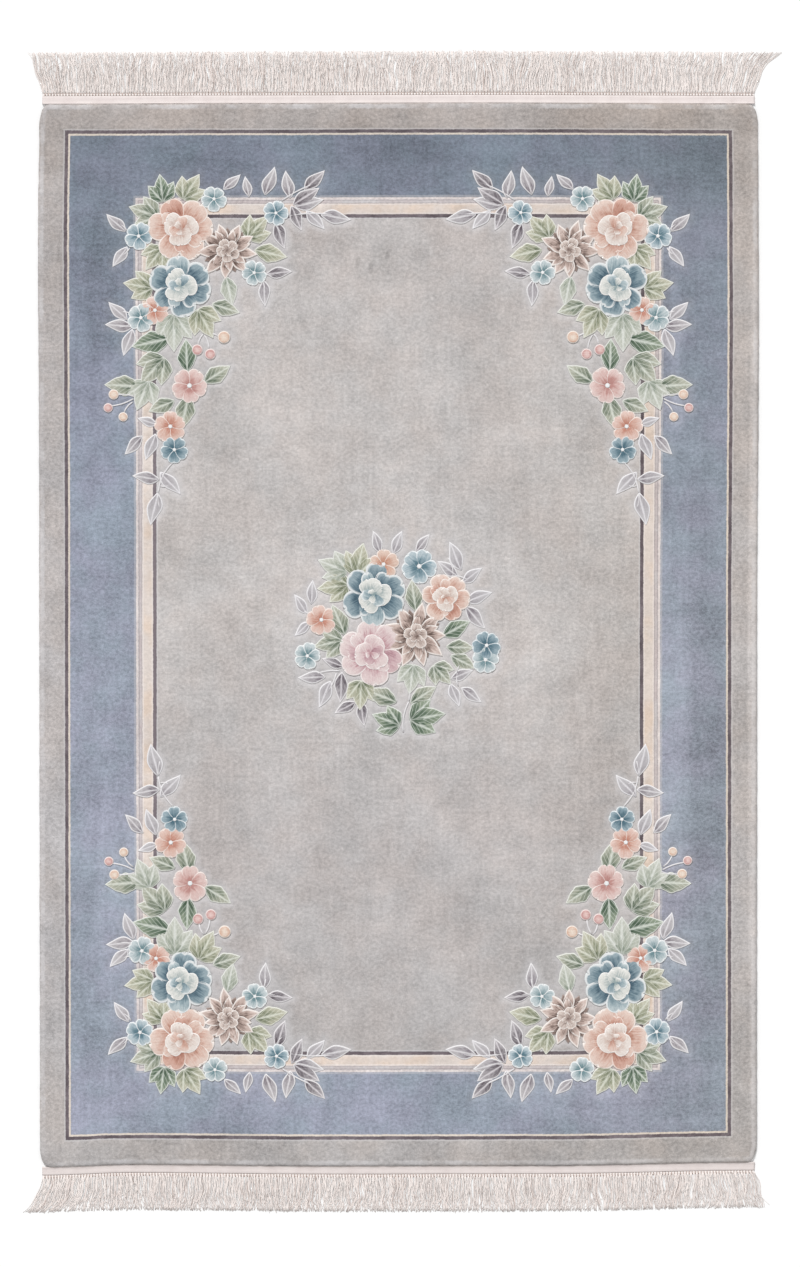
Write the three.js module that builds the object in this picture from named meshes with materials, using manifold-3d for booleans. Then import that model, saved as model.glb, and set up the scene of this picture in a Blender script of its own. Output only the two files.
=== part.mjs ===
// A hand-knotted Chinese silk rug, lying flat: a thick pile carved along its guard lines and around its
// flowers, a flat-woven web past each end, and the fringe of knotted-off warps.
// Millimetres. +X is across the rug, +Y runs to its head end, and the origin is on the floor under the
// middle of the pile.
import * as THREE from 'three';
import { mergeVertices } from 'three/addons/utils/BufferGeometryUtils.js';
import Module from 'manifold-3d';

const wasm = await Module();
wasm.setup();

// Driving dimensions.
const PILE_WIDTH = 1830;
const PILE_LENGTH = 2706;
const PILE_HEIGHT = 12;
const CORNER_RADIUS = 10;
const CORNER_DRAW = 8;
const CORNER_DRAW_LENGTH = 45;
const WEB_WIDTH = 1815;
const WEB_DEPTH = 21;
const WEB_HEIGHT = 3;
const GAP = 0.3;

// How the pile's section closes in, from the floor up.
const RIM_SECTION = [
  { height: 0, inset: 3 },
  { height: 2.5, inset: 0 },
  { height: 7.5, inset: 0 },
  { height: 10.5, inset: 2.5 },
  { height: PILE_HEIGHT, inset: 9 },
];

// How far each edge strays outwards from its straight line. Side edges run from foot to head, end edges
// from left to right.
const EDGE_WANDER = {
  left: [
    { at: 0, out: -2 },
    { at: 0.6, out: 0 },
    { at: 0.88, out: 3 },
    { at: 1, out: -1 },
  ],
  right: [
    { at: 0, out: -3 },
    { at: 0.5, out: -2.5 },
    { at: 0.8, out: 2 },
    { at: 1, out: 0 },
  ],
  head: [
    { at: 0, out: -2 },
    { at: 0.3, out: 0 },
    { at: 0.6, out: 1.5 },
    { at: 1, out: -1 },
  ],
  foot: [
    { at: 0, out: 3 },
    { at: 0.13, out: -4 },
    { at: 0.4, out: 0 },
    { at: 0.7, out: -1 },
    { at: 1, out: -10 },
  ],
};

// Grooves carved where two bands of the border meet. Half sizes give the rectangle that a guard follows.
// The corner sprays cover the inner guard for its clear length each way, so its grooves stop short there.
const GROOVE_WIDTH = 3;
const GROOVE_DEPTH = 1.2;
const GROOVE_SECTION = [
  { outward: GROOVE_WIDTH, height: PILE_HEIGHT + GROOVE_DEPTH },
  { outward: 0, height: PILE_HEIGHT - GROOVE_DEPTH },
  { outward: -GROOVE_WIDTH, height: PILE_HEIGHT + GROOVE_DEPTH },
];
const OUTER_GUARD = { halfX: 849, halfY: 1285, clearX: 0, clearY: 0 };
const INNER_GUARD = { halfX: 668, halfY: 1113, clearX: 555, clearY: 845 };
const GROOVE_LINES = [
  { guard: OUTER_GUARD, inset: 0 },
  { guard: OUTER_GUARD, inset: 15 },
  { guard: INNER_GUARD, inset: 0 },
  { guard: INNER_GUARD, inset: 15 },
  { guard: INNER_GUARD, inset: 43 },
  { guard: INNER_GUARD, inset: 52 },
];
const EDGE_STEPS = 12;

// The carved forms. Petal outlines come from a count and a waist between petals, and leaf outlines are
// given for a leaf one unit long: how far along, and how far to each side. Rise is above the pile.
const CARVED = {
  peony: { petals: 7, waist: 0.78, rise: 1.7, crown: 0.9, cup: 0.45 },
  lotus: { petals: 11, waist: 0.6, rise: 1.7, crown: 0.85, cup: 0.36 },
  blossom: { petals: 5, waist: 0.6, rise: 1.4, crown: 0.85 },
  bud: { petals: 5, waist: 1, rise: 1.2, crown: 0.7 },
  leaf: {
    rise: 1.1,
    crown: 0.82,
    half: [
      { along: 0.3, aside: 0.34 },
      { along: 0.68, aside: 0.3 },
    ],
  },
  blade: {
    rise: 0.8,
    crown: 0.8,
    half: [{ along: 0.45, aside: 0.22 }],
  },
};
const CUP_RISE = 0.6;
const CUP_SIDES = 6;

// One corner's spray. u and v run inwards, across and along the rug, from the inner guard's corner;
// size is a flower's radius or a leaf's length; turn is in degrees from u towards v.
const CORNER_SPRAY = [
  { form: 'blade', u: 243, v: -41, size: 58, turn: -48 },
  { form: 'blade', u: 286, v: -28, size: 54, turn: -95 },
  { form: 'blade', u: 336, v: -43, size: 76, turn: -80 },
  { form: 'blade', u: 391, v: -33, size: 72, turn: -92 },
  { form: 'blade', u: 452, v: -46, size: 72, turn: -50 },
  { form: 'blade', u: 432, v: -5, size: 80, turn: -38 },
  { form: 'blade', u: 442, v: 17, size: 76, turn: -10 },
  { form: 'blade', u: 510, v: 47, size: 78, turn: 3 },
  { form: 'blade', u: 412, v: 52, size: 70, turn: 62 },
  { form: 'blade', u: 455, v: 60, size: 66, turn: 52 },
  { form: 'blade', u: 371, v: 95, size: 74, turn: 65 },
  { form: 'blade', u: 366, v: 194, size: 66, turn: 0 },
  { form: 'blade', u: 331, v: 244, size: 68, turn: 80 },
  { form: 'blade', u: -46, v: 61, size: 66, turn: -130 },
  { form: 'blade', u: -36, v: 152, size: 64, turn: 120 },
  { form: 'blade', u: -42, v: 286, size: 66, turn: -130 },
  { form: 'blade', u: -42, v: 329, size: 72, turn: 178 },
  { form: 'blade', u: -14, v: 370, size: 72, turn: 100 },
  { form: 'blade', u: 29, v: 571, size: 54, turn: -165 },
  { form: 'blade', u: -8, v: 628, size: 66, turn: 140 },
  { form: 'blade', u: 41, v: 636, size: 72, turn: 105 },
  { form: 'blade', u: 25, v: 717, size: 70, turn: 180 },
  { form: 'blade', u: 84, v: 730, size: 76, turn: 55 },
  { form: 'blade', u: 51, v: 794, size: 84, turn: 95 },
  { form: 'leaf', u: 65, v: -20, size: 62, turn: -100 },
  { form: 'leaf', u: 138, v: -24, size: 66, turn: -60 },
  { form: 'leaf', u: 25, v: 39, size: 68, turn: -163 },
  { form: 'leaf', u: 52, v: 153, size: 62, turn: 125 },
  { form: 'leaf', u: 11, v: 226, size: 66, turn: -172 },
  { form: 'leaf', u: 306, v: 78, size: 66, turn: -50 },
  { form: 'leaf', u: 336, v: 140, size: 66, turn: 10 },
  { form: 'leaf', u: 238, v: 231, size: 60, turn: 75 },
  { form: 'leaf', u: 223, v: 279, size: 58, turn: 15 },
  { form: 'leaf', u: 177, v: 316, size: 72, turn: 60 },
  { form: 'leaf', u: 100, v: 339, size: 84, turn: 88 },
  { form: 'leaf', u: 50, v: 368, size: 78, turn: 165 },
  { form: 'leaf', u: 48, v: 438, size: 78, turn: 130 },
  { form: 'leaf', u: 129, v: 410, size: 66, turn: -95 },
  { form: 'leaf', u: 200, v: 453, size: 62, turn: -35 },
  { form: 'leaf', u: 73, v: 529, size: 56, turn: 155 },
  { form: 'leaf', u: 128, v: 539, size: 70, turn: 100 },
  { form: 'leaf', u: -24, v: 480, size: 72, turn: 180 },
  { form: 'leaf', u: 21, v: 500, size: 70, turn: 110 },
  { form: 'bud', u: -56, v: 501, size: 13, turn: 0 },
  { form: 'bud', u: -70, v: 535, size: 12, turn: 0 },
  { form: 'bud', u: -32, v: 558, size: 12, turn: 0 },
  { form: 'bud', u: 225, v: 356, size: 16, turn: 0 },
  { form: 'bud', u: 157, v: 388, size: 14, turn: 0 },
  { form: 'bud', u: 190, v: 399, size: 14, turn: 0 },
  { form: 'blossom', u: 200, v: 4, size: 32, turn: 20 },
  { form: 'blossom', u: 357, v: 40, size: 32, turn: 0 },
  { form: 'blossom', u: 9, v: 98, size: 35, turn: 10 },
  { form: 'blossom', u: 302, v: 192, size: 33, turn: 30 },
  { form: 'blossom', u: 14, v: 306, size: 36, turn: 5 },
  { form: 'blossom', u: 50, v: 287, size: 36, turn: 40 },
  { form: 'blossom', u: 137, v: 479, size: 46, turn: 15 },
  { form: 'blossom', u: 88, v: 583, size: 40, turn: 50 },
  { form: 'blossom', u: 98, v: 642, size: 34, turn: 18 },
  { form: 'lotus', u: 234, v: 135, size: 78, turn: 10 },
  { form: 'peony', u: 114, v: 226, size: 78, turn: 20 },
  { form: 'peony', u: 116, v: 81, size: 82, turn: 0 },
];

// The round bouquet in the middle of the field. x and y are from the rug's middle, and turn is in
// degrees from +X towards +Y.
const CENTRE_BOUQUET = [
  { form: 'blade', x: -58, y: 235, size: 60, turn: 115 },
  { form: 'blade', x: 1, y: 233, size: 64, turn: 60 },
  { form: 'blade', x: 64, y: 231, size: 58, turn: 45 },
  { form: 'blade', x: 141, y: 198, size: 78, turn: 120 },
  { form: 'blade', x: 124, y: 165, size: 66, turn: 150 },
  { form: 'blade', x: 189, y: 148, size: 64, turn: 30 },
  { form: 'blade', x: 206, y: 93, size: 72, turn: 12 },
  { form: 'blade', x: 199, y: 46, size: 76, turn: -42 },
  { form: 'blade', x: -217, y: 108, size: 62, turn: 80 },
  { form: 'blade', x: -251, y: 76, size: 60, turn: 130 },
  { form: 'blade', x: -246, y: 17, size: 54, turn: -145 },
  { form: 'blade', x: -221, y: -105, size: 70, turn: 175 },
  { form: 'blade', x: -168, y: -73, size: 60, turn: 165 },
  { form: 'blade', x: -150, y: -134, size: 78, turn: -100 },
  { form: 'blade', x: -191, y: -150, size: 74, turn: -120 },
  { form: 'blade', x: -134, y: -188, size: 62, turn: -145 },
  { form: 'blade', x: -89, y: -200, size: 66, turn: -75 },
  { form: 'blade', x: 163, y: -104, size: 62, turn: 15 },
  { form: 'blade', x: 141, y: -155, size: 64, turn: -75 },
  { form: 'blade', x: 188, y: -151, size: 64, turn: -30 },
  { form: 'leaf', x: -162, y: 174, size: 70, turn: 155 },
  { form: 'leaf', x: -98, y: 186, size: 74, turn: 75 },
  { form: 'leaf', x: -162, y: 124, size: 70, turn: -175 },
  { form: 'leaf', x: -148, y: 31, size: 66, turn: 110 },
  { form: 'leaf', x: -175, y: -20, size: 66, turn: -170 },
  { form: 'leaf', x: 41, y: 92, size: 64, turn: 95 },
  { form: 'leaf', x: 141, y: 11, size: 62, turn: 25 },
  { form: 'leaf', x: 150, y: -33, size: 56, turn: -5 },
  { form: 'leaf', x: 158, y: -67, size: 56, turn: -30 },
  { form: 'leaf', x: 108, y: -100, size: 58, turn: -50 },
  { form: 'leaf', x: 32, y: -109, size: 66, turn: -100 },
  { form: 'leaf', x: -98, y: -150, size: 66, turn: -95 },
  { form: 'leaf', x: -35, y: -158, size: 66, turn: 155 },
  { form: 'leaf', x: 57, y: -159, size: 62, turn: 30 },
  { form: 'leaf', x: -27, y: -219, size: 66, turn: 150 },
  { form: 'leaf', x: 65, y: -214, size: 64, turn: 15 },
  { form: 'blossom', x: -38, y: 179, size: 38, turn: 90 },
  { form: 'blossom', x: 53, y: 174, size: 45, turn: 60 },
  { form: 'blossom', x: -196, y: 38, size: 39, turn: 30 },
  { form: 'blossom', x: -232, y: -54, size: 34, turn: 0 },
  { form: 'blossom', x: 225, y: -27, size: 36, turn: 45 },
  { form: 'blossom', x: 222, y: -64, size: 35, turn: 10 },
  { form: 'peony', x: 120, y: 94, size: 62, turn: 0 },
  { form: 'peony', x: -63, y: 102, size: 82, turn: 20 },
  { form: 'lotus', x: 44, y: -3, size: 80, turn: 0 },
  { form: 'peony', x: -70, y: -46, size: 82, turn: 40 },
];

// The fringe. Each strand is a three-sided lock lying flat, fused at its root into a narrow strip.
const STRAND_COUNT = 126;
const STRIP_DEPTH = 5;
const STRIP_HEIGHT = 3.2;
const STRAND_SECTIONS = [
  { at: 0, width: 8.4, height: 2.8 },
  { at: 0.5, width: 7, height: 3.4 },
  { at: 1, width: 3.6, height: 1.8 },
];
const STRAND_BEND_STRAY = 1.4;
const STRAND_TIP_STRAY = 2.2;
const STRAND_LENGTH_STRAY = 7;
const FLARE_REACH = 260;

// Each end of the rug: the direction it faces, its strands' mean length, and how far the strands at its
// two corners splay outwards by mid-length and at the tip.
const ENDS = [
  {
    name: 'head',
    facing: 1,
    length: 108,
    left: { middle: 13, tip: 34 },
    right: { middle: 18, tip: 58 },
  },
  {
    name: 'foot',
    facing: -1,
    length: 92,
    left: { middle: 12, tip: 40 },
    right: { middle: 11, tip: 17 },
  },
];

// Materials, with the photo's colours.
const silkPile = new THREE.MeshStandardMaterial({ color: 0xbfb9b8, roughness: 0.6, metalness: 0 });
const creamWeave = new THREE.MeshStandardMaterial({ color: 0xede4e0, roughness: 0.8, metalness: 0 });
const creamYarn = new THREE.MeshStandardMaterial({ color: 0xe2dcd9, roughness: 0.75, metalness: 0 });

// A repeatable stray from -1 to 1 for a strand's number and a purpose.
function stray(index, purpose) {
  const wave = Math.sin(index * 12.9898 + purpose * 78.233) * 43758.5453;
  return 2 * (wave - Math.floor(wave)) - 1;
}

function easedBetween(low, high, share) {
  const eased = share * share * (3 - 2 * share);
  return low + (high - low) * eased;
}

// The wander at a share of the way along an edge.
function wanderAt(rows, share) {
  const place = THREE.MathUtils.clamp(share, 0, 1);
  const next = Math.max(1, rows.findIndex((row) => row.at >= place));
  const [a, b] = [rows[next - 1], rows[next]];
  return easedBetween(a.out, b.out, (place - a.at) / (b.at - a.at));
}

// Takes a point of the evenly drawn rug to where it lies: each edge strays, its middle stays.
function laid(x, y) {
  const alongSide = y / PILE_LENGTH + 0.5;
  const alongEnd = x / PILE_WIDTH + 0.5;
  const side = wanderAt(x < 0 ? EDGE_WANDER.left : EDGE_WANDER.right, alongSide);
  const end = wanderAt(y < 0 ? EDGE_WANDER.foot : EDGE_WANDER.head, alongEnd);
  return [x * (1 + (2 * side) / PILE_WIDTH), y * (1 + (2 * end) / PILE_LENGTH)];
}

// A rectangle's outline, anticlockwise, with rounded corners where a radius is given.
function rectangle(halfX, halfY, steps, radius = 0) {
  const corners = [
    { x: halfX, y: -halfY, turn: -90 },
    { x: halfX, y: halfY, turn: 0 },
    { x: -halfX, y: halfY, turn: 90 },
    { x: -halfX, y: -halfY, turn: 180 },
  ];
  const arcTurns = radius > 0 ? [0, 30, 60, 90] : [0];
  const arcs = corners.map(({ x, y, turn }) =>
    arcTurns.map((part) => {
      const angle = THREE.MathUtils.degToRad(turn + part);
      const centre = [x - Math.sign(x) * radius, y - Math.sign(y) * radius];
      return [centre[0] + radius * Math.cos(angle), centre[1] + radius * Math.sin(angle)];
    }),
  );
  const outline = [];
  arcs.forEach((arc, index) => {
    outline.push(...arc);
    const from = arc[arc.length - 1];
    const to = arcs[(index + 1) % arcs.length][0];
    for (let step = 1; step < steps; step += 1) {
      const share = step / steps;
      outline.push([from[0] + (to[0] - from[0]) * share, from[1] + (to[1] - from[1]) * share]);
    }
  });
  return outline;
}

// A closed solid through a stack of rings, each a list of [x, y, z] with as many points, from low to
// high, anticlockwise from above.
function ringStack(rings) {
  const count = rings[0].length;
  const positions = rings.flat(2);
  const index = [];
  for (let ring = 0; ring + 1 < rings.length; ring += 1) {
    for (let i = 0; i < count; i += 1) {
      const j = (i + 1) % count;
      const [a, b] = [ring * count + i, ring * count + j];
      index.push(a, b, b + count, a, b + count, a + count);
    }
  }
  const last = (rings.length - 1) * count;
  const flat = (ring) => ring.map(([x, y]) => new THREE.Vector2(x, y));
  for (const [a, b, c] of THREE.ShapeUtils.triangulateShape(flat(rings[0]), [])) index.push(a, c, b);
  for (const [a, b, c] of THREE.ShapeUtils.triangulateShape(flat(rings.at(-1)), [])) {
    index.push(last + a, last + b, last + c);
  }
  return meshData(positions, index);
}

// A closed solid through three-sided sections along a line, each clockwise as seen along the line.
function threeSided(sections) {
  const last = (sections.length - 1) * 3;
  const faces = [[0, 2, 1], [last, last + 1, last + 2]];
  for (let ring = 0; ring < last; ring += 3) {
    for (let i = 0; i < 3; i += 1) {
      const [a, b] = [ring + i, ring + ((i + 1) % 3)];
      faces.push([a, b, b + 3], [a, b + 3, a + 3]);
    }
  }
  return meshData(sections.flat(2), faces.flat());
}

function meshData(positions, index) {
  const geometry = new THREE.BufferGeometry();
  geometry.setAttribute('position', new THREE.Float32BufferAttribute(positions, 3));
  geometry.setIndex(index);
  return geometry;
}

function solid(geometry) {
  const merged = mergeVertices(geometry, 1e-4);
  return new wasm.Manifold(
    new wasm.Mesh({
      numProp: 3,
      vertProperties: new Float32Array(merged.attributes.position.array),
      triVerts: new Uint32Array(merged.index.array),
    }),
  );
}

function geometryOf(manifold) {
  const { vertProperties, triVerts } = manifold.getMesh();
  const geometry = meshData(Array.from(vertProperties), Array.from(triVerts));
  geometry.computeVertexNormals();
  return geometry;
}

// How far a side edge draws in near the rug's ends.
function cornerDraw(y) {
  const fromEnd = PILE_LENGTH / 2 - Math.abs(y);
  return fromEnd > CORNER_DRAW_LENGTH ? 0 : easedBetween(CORNER_DRAW, 0, fromEnd / CORNER_DRAW_LENGTH);
}

function pileSlab() {
  const rings = RIM_SECTION.map(({ height, inset }) => {
    const halfX = PILE_WIDTH / 2 - inset;
    const halfY = PILE_LENGTH / 2 - inset;
    return rectangle(halfX, halfY, EDGE_STEPS, CORNER_RADIUS).map(([x, y]) => {
      const [lx, ly] = laid(x, y);
      const drawn = Math.abs(x) > halfX - CORNER_RADIUS ? cornerDraw(y) : 0;
      return [lx - Math.sign(x) * drawn, ly, height];
    });
  });
  return solid(ringStack(rings));
}

// The V-shaped cutters of one groove line, one along each side of its rectangle, anticlockwise.
function grooveCutters({ guard, inset }) {
  const endInset = inset - GROOVE_WIDTH / 2;
  const sides = [
    { run: guard.halfX - Math.max(guard.clearX, endInset), reach: guard.halfY - inset },
    { run: guard.halfY - Math.max(guard.clearY, endInset), reach: guard.halfX - inset },
  ];
  return [0, 1, 2, 3].map((quarter) => {
    const { run, reach } = sides[quarter % 2];
    const [dx, dy] = [Math.cos((quarter * Math.PI) / 2), Math.sin((quarter * Math.PI) / 2)];
    const sections = [-run, 0, run].map((along) =>
      GROOVE_SECTION.map(({ outward, height }) => {
        const across = reach + outward;
        return [...laid(dx * along + dy * across, dy * along - dx * across), height];
      }),
    );
    return solid(threeSided(sections));
  });
}

// The outline of a flower or leaf of one unit, around its own middle.
function carvedOutline({ petals, waist, half }) {
  if (half) {
    const rightSide = half.map(({ along, aside }) => [along - 0.5, -aside]);
    const leftSide = half.map(({ along, aside }) => [along - 0.5, aside]).reverse();
    return [[-0.5, 0], ...rightSide, [0.5, 0], ...leftSide];
  }
  const outline = [];
  for (let petal = 0; petal < petals; petal += 1) {
    outline.push({ part: petal, reach: 1 });
    if (waist < 1) outline.push({ part: petal + 0.5, reach: waist });
  }
  return outline.map(({ part, reach }) => {
    const angle = (part / petals) * 2 * Math.PI;
    return [reach * Math.cos(angle), reach * Math.sin(angle)];
  });
}

// A low cushion on the pile's top, drawn in to its crown's share of the outline.
function carvedCushion(unit, { x, y, size, turn, mirrored }, crown, top) {
  const [cos, sin] = [Math.cos(turn), Math.sin(turn)];
  const placed = mirrored ? [...unit].reverse() : unit;
  const ring = (share, height) =>
    placed.map(([a, b]) => {
      const side = mirrored ? -b : b;
      const [px, py] = [a * size * share, side * size * share];
      return [...laid(x + px * cos - py * sin, y + px * sin + py * cos), height];
    });
  return solid(ringStack([ring(1, PILE_HEIGHT), ring(crown, top)]));
}

// One carved flower or leaf, standing a little above the pile, and its cup where it has one.
function carvedForm(row) {
  const form = CARVED[row.form];
  const top = PILE_HEIGHT + form.rise;
  const pieces = [carvedCushion(carvedOutline(form), row, form.crown, top)];
  if (form.cup) {
    const round = carvedOutline({ petals: CUP_SIDES, waist: 1 });
    const cup = { ...row, size: row.size * form.cup };
    pieces.push(carvedCushion(round, cup, form.crown, top + CUP_RISE));
  }
  return pieces;
}

// Every carved row of the rug, in its own frame: the corner spray four times over, then the middle.
function carvedRows() {
  const rows = [];
  for (const [sideX, sideY] of [[-1, 1], [1, 1], [1, -1], [-1, -1]]) {
    for (const { form, u, v, size, turn } of CORNER_SPRAY) {
      const angle = THREE.MathUtils.degToRad(turn);
      rows.push({
        form,
        size,
        x: sideX * (INNER_GUARD.halfX - u),
        y: sideY * (INNER_GUARD.halfY - v),
        turn: Math.atan2(-sideY * Math.sin(angle), -sideX * Math.cos(angle)),
        mirrored: sideX * sideY < 0,
      });
    }
  }
  for (const row of CENTRE_BOUQUET) {
    rows.push({ ...row, turn: THREE.MathUtils.degToRad(row.turn), mirrored: false });
  }
  return rows;
}

function pileGeometry() {
  const grooves = wasm.Manifold.union(GROOVE_LINES.flatMap(grooveCutters));
  const carving = wasm.Manifold.union(carvedRows().flatMap(carvedForm));
  return geometryOf(pileSlab().subtract(grooves).add(carving));
}

// A flat strip along one end of the rug, from near to far past the pile's edge.
function endStrip(facing, near, far, height) {
  const halfWidth = WEB_WIDTH / 2;
  const edge = [];
  for (let step = 0; step <= EDGE_STEPS; step += 1) edge.push((step / EDGE_STEPS - 0.5) * 2 * halfWidth);
  const line = (past) =>
    edge.map((x) => {
      const y = laid(x, facing * (PILE_LENGTH / 2))[1];
      return [x, y + facing * past];
    });
  const outline = [...line(facing > 0 ? near : far), ...line(facing > 0 ? far : near).reverse()];
  return ringStack([0, height].map((z) => outline.map(([x, y]) => [x, y, z])));
}

// How far a strand leans at mid-length and at its tip: outwards near a corner, straight inside.
function strandLean(end, x) {
  const corner = x < 0 ? end.left : end.right;
  const nearness = THREE.MathUtils.clamp(1 - (WEB_WIDTH / 2 - Math.abs(x)) / FLARE_REACH, 0, 1);
  const share = Math.sign(x) * nearness * nearness;
  return { middle: corner.middle * share, tip: corner.tip * share };
}

function strand(end, index, past) {
  const pitch = WEB_WIDTH / STRAND_COUNT;
  const x = (index + 0.5) * pitch - WEB_WIDTH / 2;
  const root = laid(x, end.facing * (PILE_LENGTH / 2))[1] + end.facing * past;
  const length = end.length + STRAND_LENGTH_STRAY * stray(index, end.facing);
  const lean = strandLean(end, x);
  const sideways = [
    0,
    lean.middle + STRAND_BEND_STRAY * stray(index, 3 + end.facing),
    lean.tip + STRAND_TIP_STRAY * stray(index, 6 + end.facing),
  ];
  const sections = STRAND_SECTIONS.map(({ at, width, height }, place) => {
    const cx = x + sideways[place];
    const y = root + end.facing * length * at;
    return [
      [cx + (end.facing * width) / 2, y, 0],
      [cx - (end.facing * width) / 2, y, 0],
      [cx, y, height],
    ];
  });
  return solid(threeSided(sections));
}

function fringeGeometry(end) {
  const near = GAP + WEB_DEPTH + GAP;
  const far = near + STRIP_DEPTH;
  const pieces = [solid(endStrip(end.facing, near, far, STRIP_HEIGHT))];
  for (let index = 0; index < STRAND_COUNT; index += 1) pieces.push(strand(end, index, far - 1));
  return geometryOf(wasm.Manifold.union(pieces));
}

function namedMesh(name, geometry, material) {
  const mesh = new THREE.Mesh(geometry, material);
  mesh.name = name;
  return mesh;
}

const rug = new THREE.Group();
rug.add(namedMesh('pile', pileGeometry(), silkPile));
for (const end of ENDS) {
  const web = endStrip(end.facing, GAP, GAP + WEB_DEPTH, WEB_HEIGHT);
  rug.add(namedMesh(`end_web_${end.name}`, web, creamWeave));
  rug.add(namedMesh(`fringe_${end.name}`, fringeGeometry(end), creamYarn));
}

export default rug;
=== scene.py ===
"""The looks of a hand-knotted Chinese silk rug, laid flat and seen from straight above.

Lengths are millimetres, and become metres where a mesh is made. The head end points along +Y.
"""

import math

import bpy
import numpy as np
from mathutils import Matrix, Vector, kdtree
from mathutils.geometry import delaunay_2d_cdt


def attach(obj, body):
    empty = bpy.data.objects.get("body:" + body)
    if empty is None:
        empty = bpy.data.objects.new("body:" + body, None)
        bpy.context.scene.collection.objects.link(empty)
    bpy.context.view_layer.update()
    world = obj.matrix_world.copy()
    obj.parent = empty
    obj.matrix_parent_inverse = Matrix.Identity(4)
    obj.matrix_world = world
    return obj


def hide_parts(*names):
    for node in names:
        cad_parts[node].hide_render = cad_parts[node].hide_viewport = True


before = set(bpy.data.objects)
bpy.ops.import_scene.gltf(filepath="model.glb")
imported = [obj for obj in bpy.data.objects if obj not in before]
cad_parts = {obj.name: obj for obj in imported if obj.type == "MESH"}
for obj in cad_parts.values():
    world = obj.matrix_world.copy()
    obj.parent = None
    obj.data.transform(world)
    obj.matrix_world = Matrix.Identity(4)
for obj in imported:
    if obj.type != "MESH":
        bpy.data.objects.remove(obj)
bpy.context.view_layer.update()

MM = 0.001
rng = np.random.default_rng(7)

# The rug's plan.
PILE_HALF = np.array([915.0, 1353.0])
PILE_HEIGHT = 12.0
CORNER_RADIUS = 10.0
CORNER_DRAW = 8.0
CORNER_DRAW_LENGTH = 45.0
WEB_HALF_WIDTH = 907.5
WEB_DEPTH = 21.0
GAP = 0.3

# Guards: half sizes of each one's outer edge, and its stripes' widths from there inwards.
OUTER_GUARD = np.array([849.0, 1285.0])
INNER_GUARD = np.array([668.0, 1113.0])
OUTER_STRIPES = {"dark": 8.5, "warm_cream": 6.5}
INNER_STRIPES = {"cream": 6.5, "taupe": 9.0, "peach": 28.0, "dark": 8.5}

# The photograph's frame.
PHOTO_SIZE = (800, 1267)
MM_PER_PIXEL = 2.545
PHOTO_PILE_MIDDLE = (398.5, 634.75)
LENS = 110.0
SENSOR = 36.0


def table(columns, *rows):
    """Rows as dictionaries under their columns' names."""
    names = columns.split()
    return [dict(zip(names, row)) for row in rows]


# How far each edge strays outwards, at shares of its length: sides from foot to head, ends from left.
WANDER = {
    "left": table("at out", (0, -2), (0.6, 0), (0.88, 3), (1, -1)),
    "right": table("at out", (0, -3), (0.5, -2.5), (0.8, 2), (1, 0)),
    "head": table("at out", (0, -2), (0.3, 0), (0.6, 1.5), (1, -1)),
    "foot": table("at out", (0, 3), (0.13, -4), (0.4, 0), (0.7, -1), (1, -10)),
}

# The pile's rounded rim from its underside up: how high, and how far in from the outline.
RIM_SECTION = table(
    "height inset",
    (0, 3),
    (1.2, 1),
    (2.5, 0),
    (6.5, 0),
    (8.8, 1.2),
    (10.6, 3.4),
    (11.6, 6.4),
)
RIM_INSET = 10.0

# Dyes as they look on the pile, in 0 to 255.
DYES = {
    "between": (212, 210, 212),
    "dark": (96, 86, 91),
    "dark_faded": (132, 122, 127),
    "cream": (236, 228, 225),
    "warm_cream": (228, 216, 203),
    "cream_worn": (206, 196, 186),
    "taupe": (197, 186, 186),
    "peach": (222, 211, 204),
    # edge is also the colour of the painted highlights beside the guards' carved lines and along the pile's
    # rolled edge.
    "peach_warm": (223, 205, 191),
    "edge": (205, 202, 203),
    "web": (238, 228, 225),
    "web_dark": (222, 210, 207),
    "yarn": (251, 243, 239),
    "yarn_dark": (206, 188, 180),
}

# Each ground's colour from the foot end to the head end: partly its dye, partly painted sheen where the nap
# lies differently and catches the light unevenly.
GROUNDS = {
    "field": table(
        "at dye",
        (0.08, (181, 177, 176)),
        (0.3, (189, 184, 183)),
        (0.5, (197, 192, 190)),
        (0.75, (194, 189, 187)),
        (0.92, (189, 183, 181)),
    ),
    "grey": table(
        "at dye",
        (0.0, (176, 171, 169)),
        (0.2, (185, 181, 181)),
        (0.6, (184, 179, 178)),
        (0.9, (180, 174, 172)),
        (1.0, (174, 166, 162)),
    ),
    "blue": table(
        "at dye",
        (0.03, (151, 157, 172)),
        (0.2, (154, 159, 174)),
        (0.5, (152, 158, 173)),
        (0.75, (142, 149, 165)),
        (0.95, (122, 130, 144)),
    ),
}

# Painted shade and sheen where the nap lies brushed in strokes and blotches: darker where depth is above 0,
# and paler below.
DABS = table(
    "x y length width turn depth",
    (703, 790, 660, 34, 90, -0.5),
    (790, -420, 1700, 110, 90, 0.38),
    (-500, 40, 2000, 300, 90, 0.24),
    (500, 0, 1900, 300, 90, 0.18),
    (902, -60, 2600, 26, 90, -0.7),
    (700, -40, 1900, 90, 90, -0.28),
    (-742, -620, 1100, 60, 90, -0.2),
    (55, 1234, 300, 90, 0, 0.35),
    (-798, 1170, 90, 70, 20, 0.5),
    (-760, 900, 500, 120, 90, 0.55),
    (310, 1240, 260, 60, 3, -0.25),
    (-300, 1215, 300, 50, -3, -0.2),
    (560, -330, 500, 180, 80, 0.25),
    (250, 700, 420, 160, 100, 0.2),
    (-104, 948, 34, 15, 86, 0.7),
    (-70, 934, 40, 15, 84, 0.75),
    (-28, 966, 36, 14, 72, 0.65),
    (-240, 790, 92, 20, 114, 0.5),
    (-150, 1000, 60, 30, 120, 0.25),
    (120, -420, 90, 46, 40, 0.3),
    (-190, -560, 70, 90, 10, 0.25),
)
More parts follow.
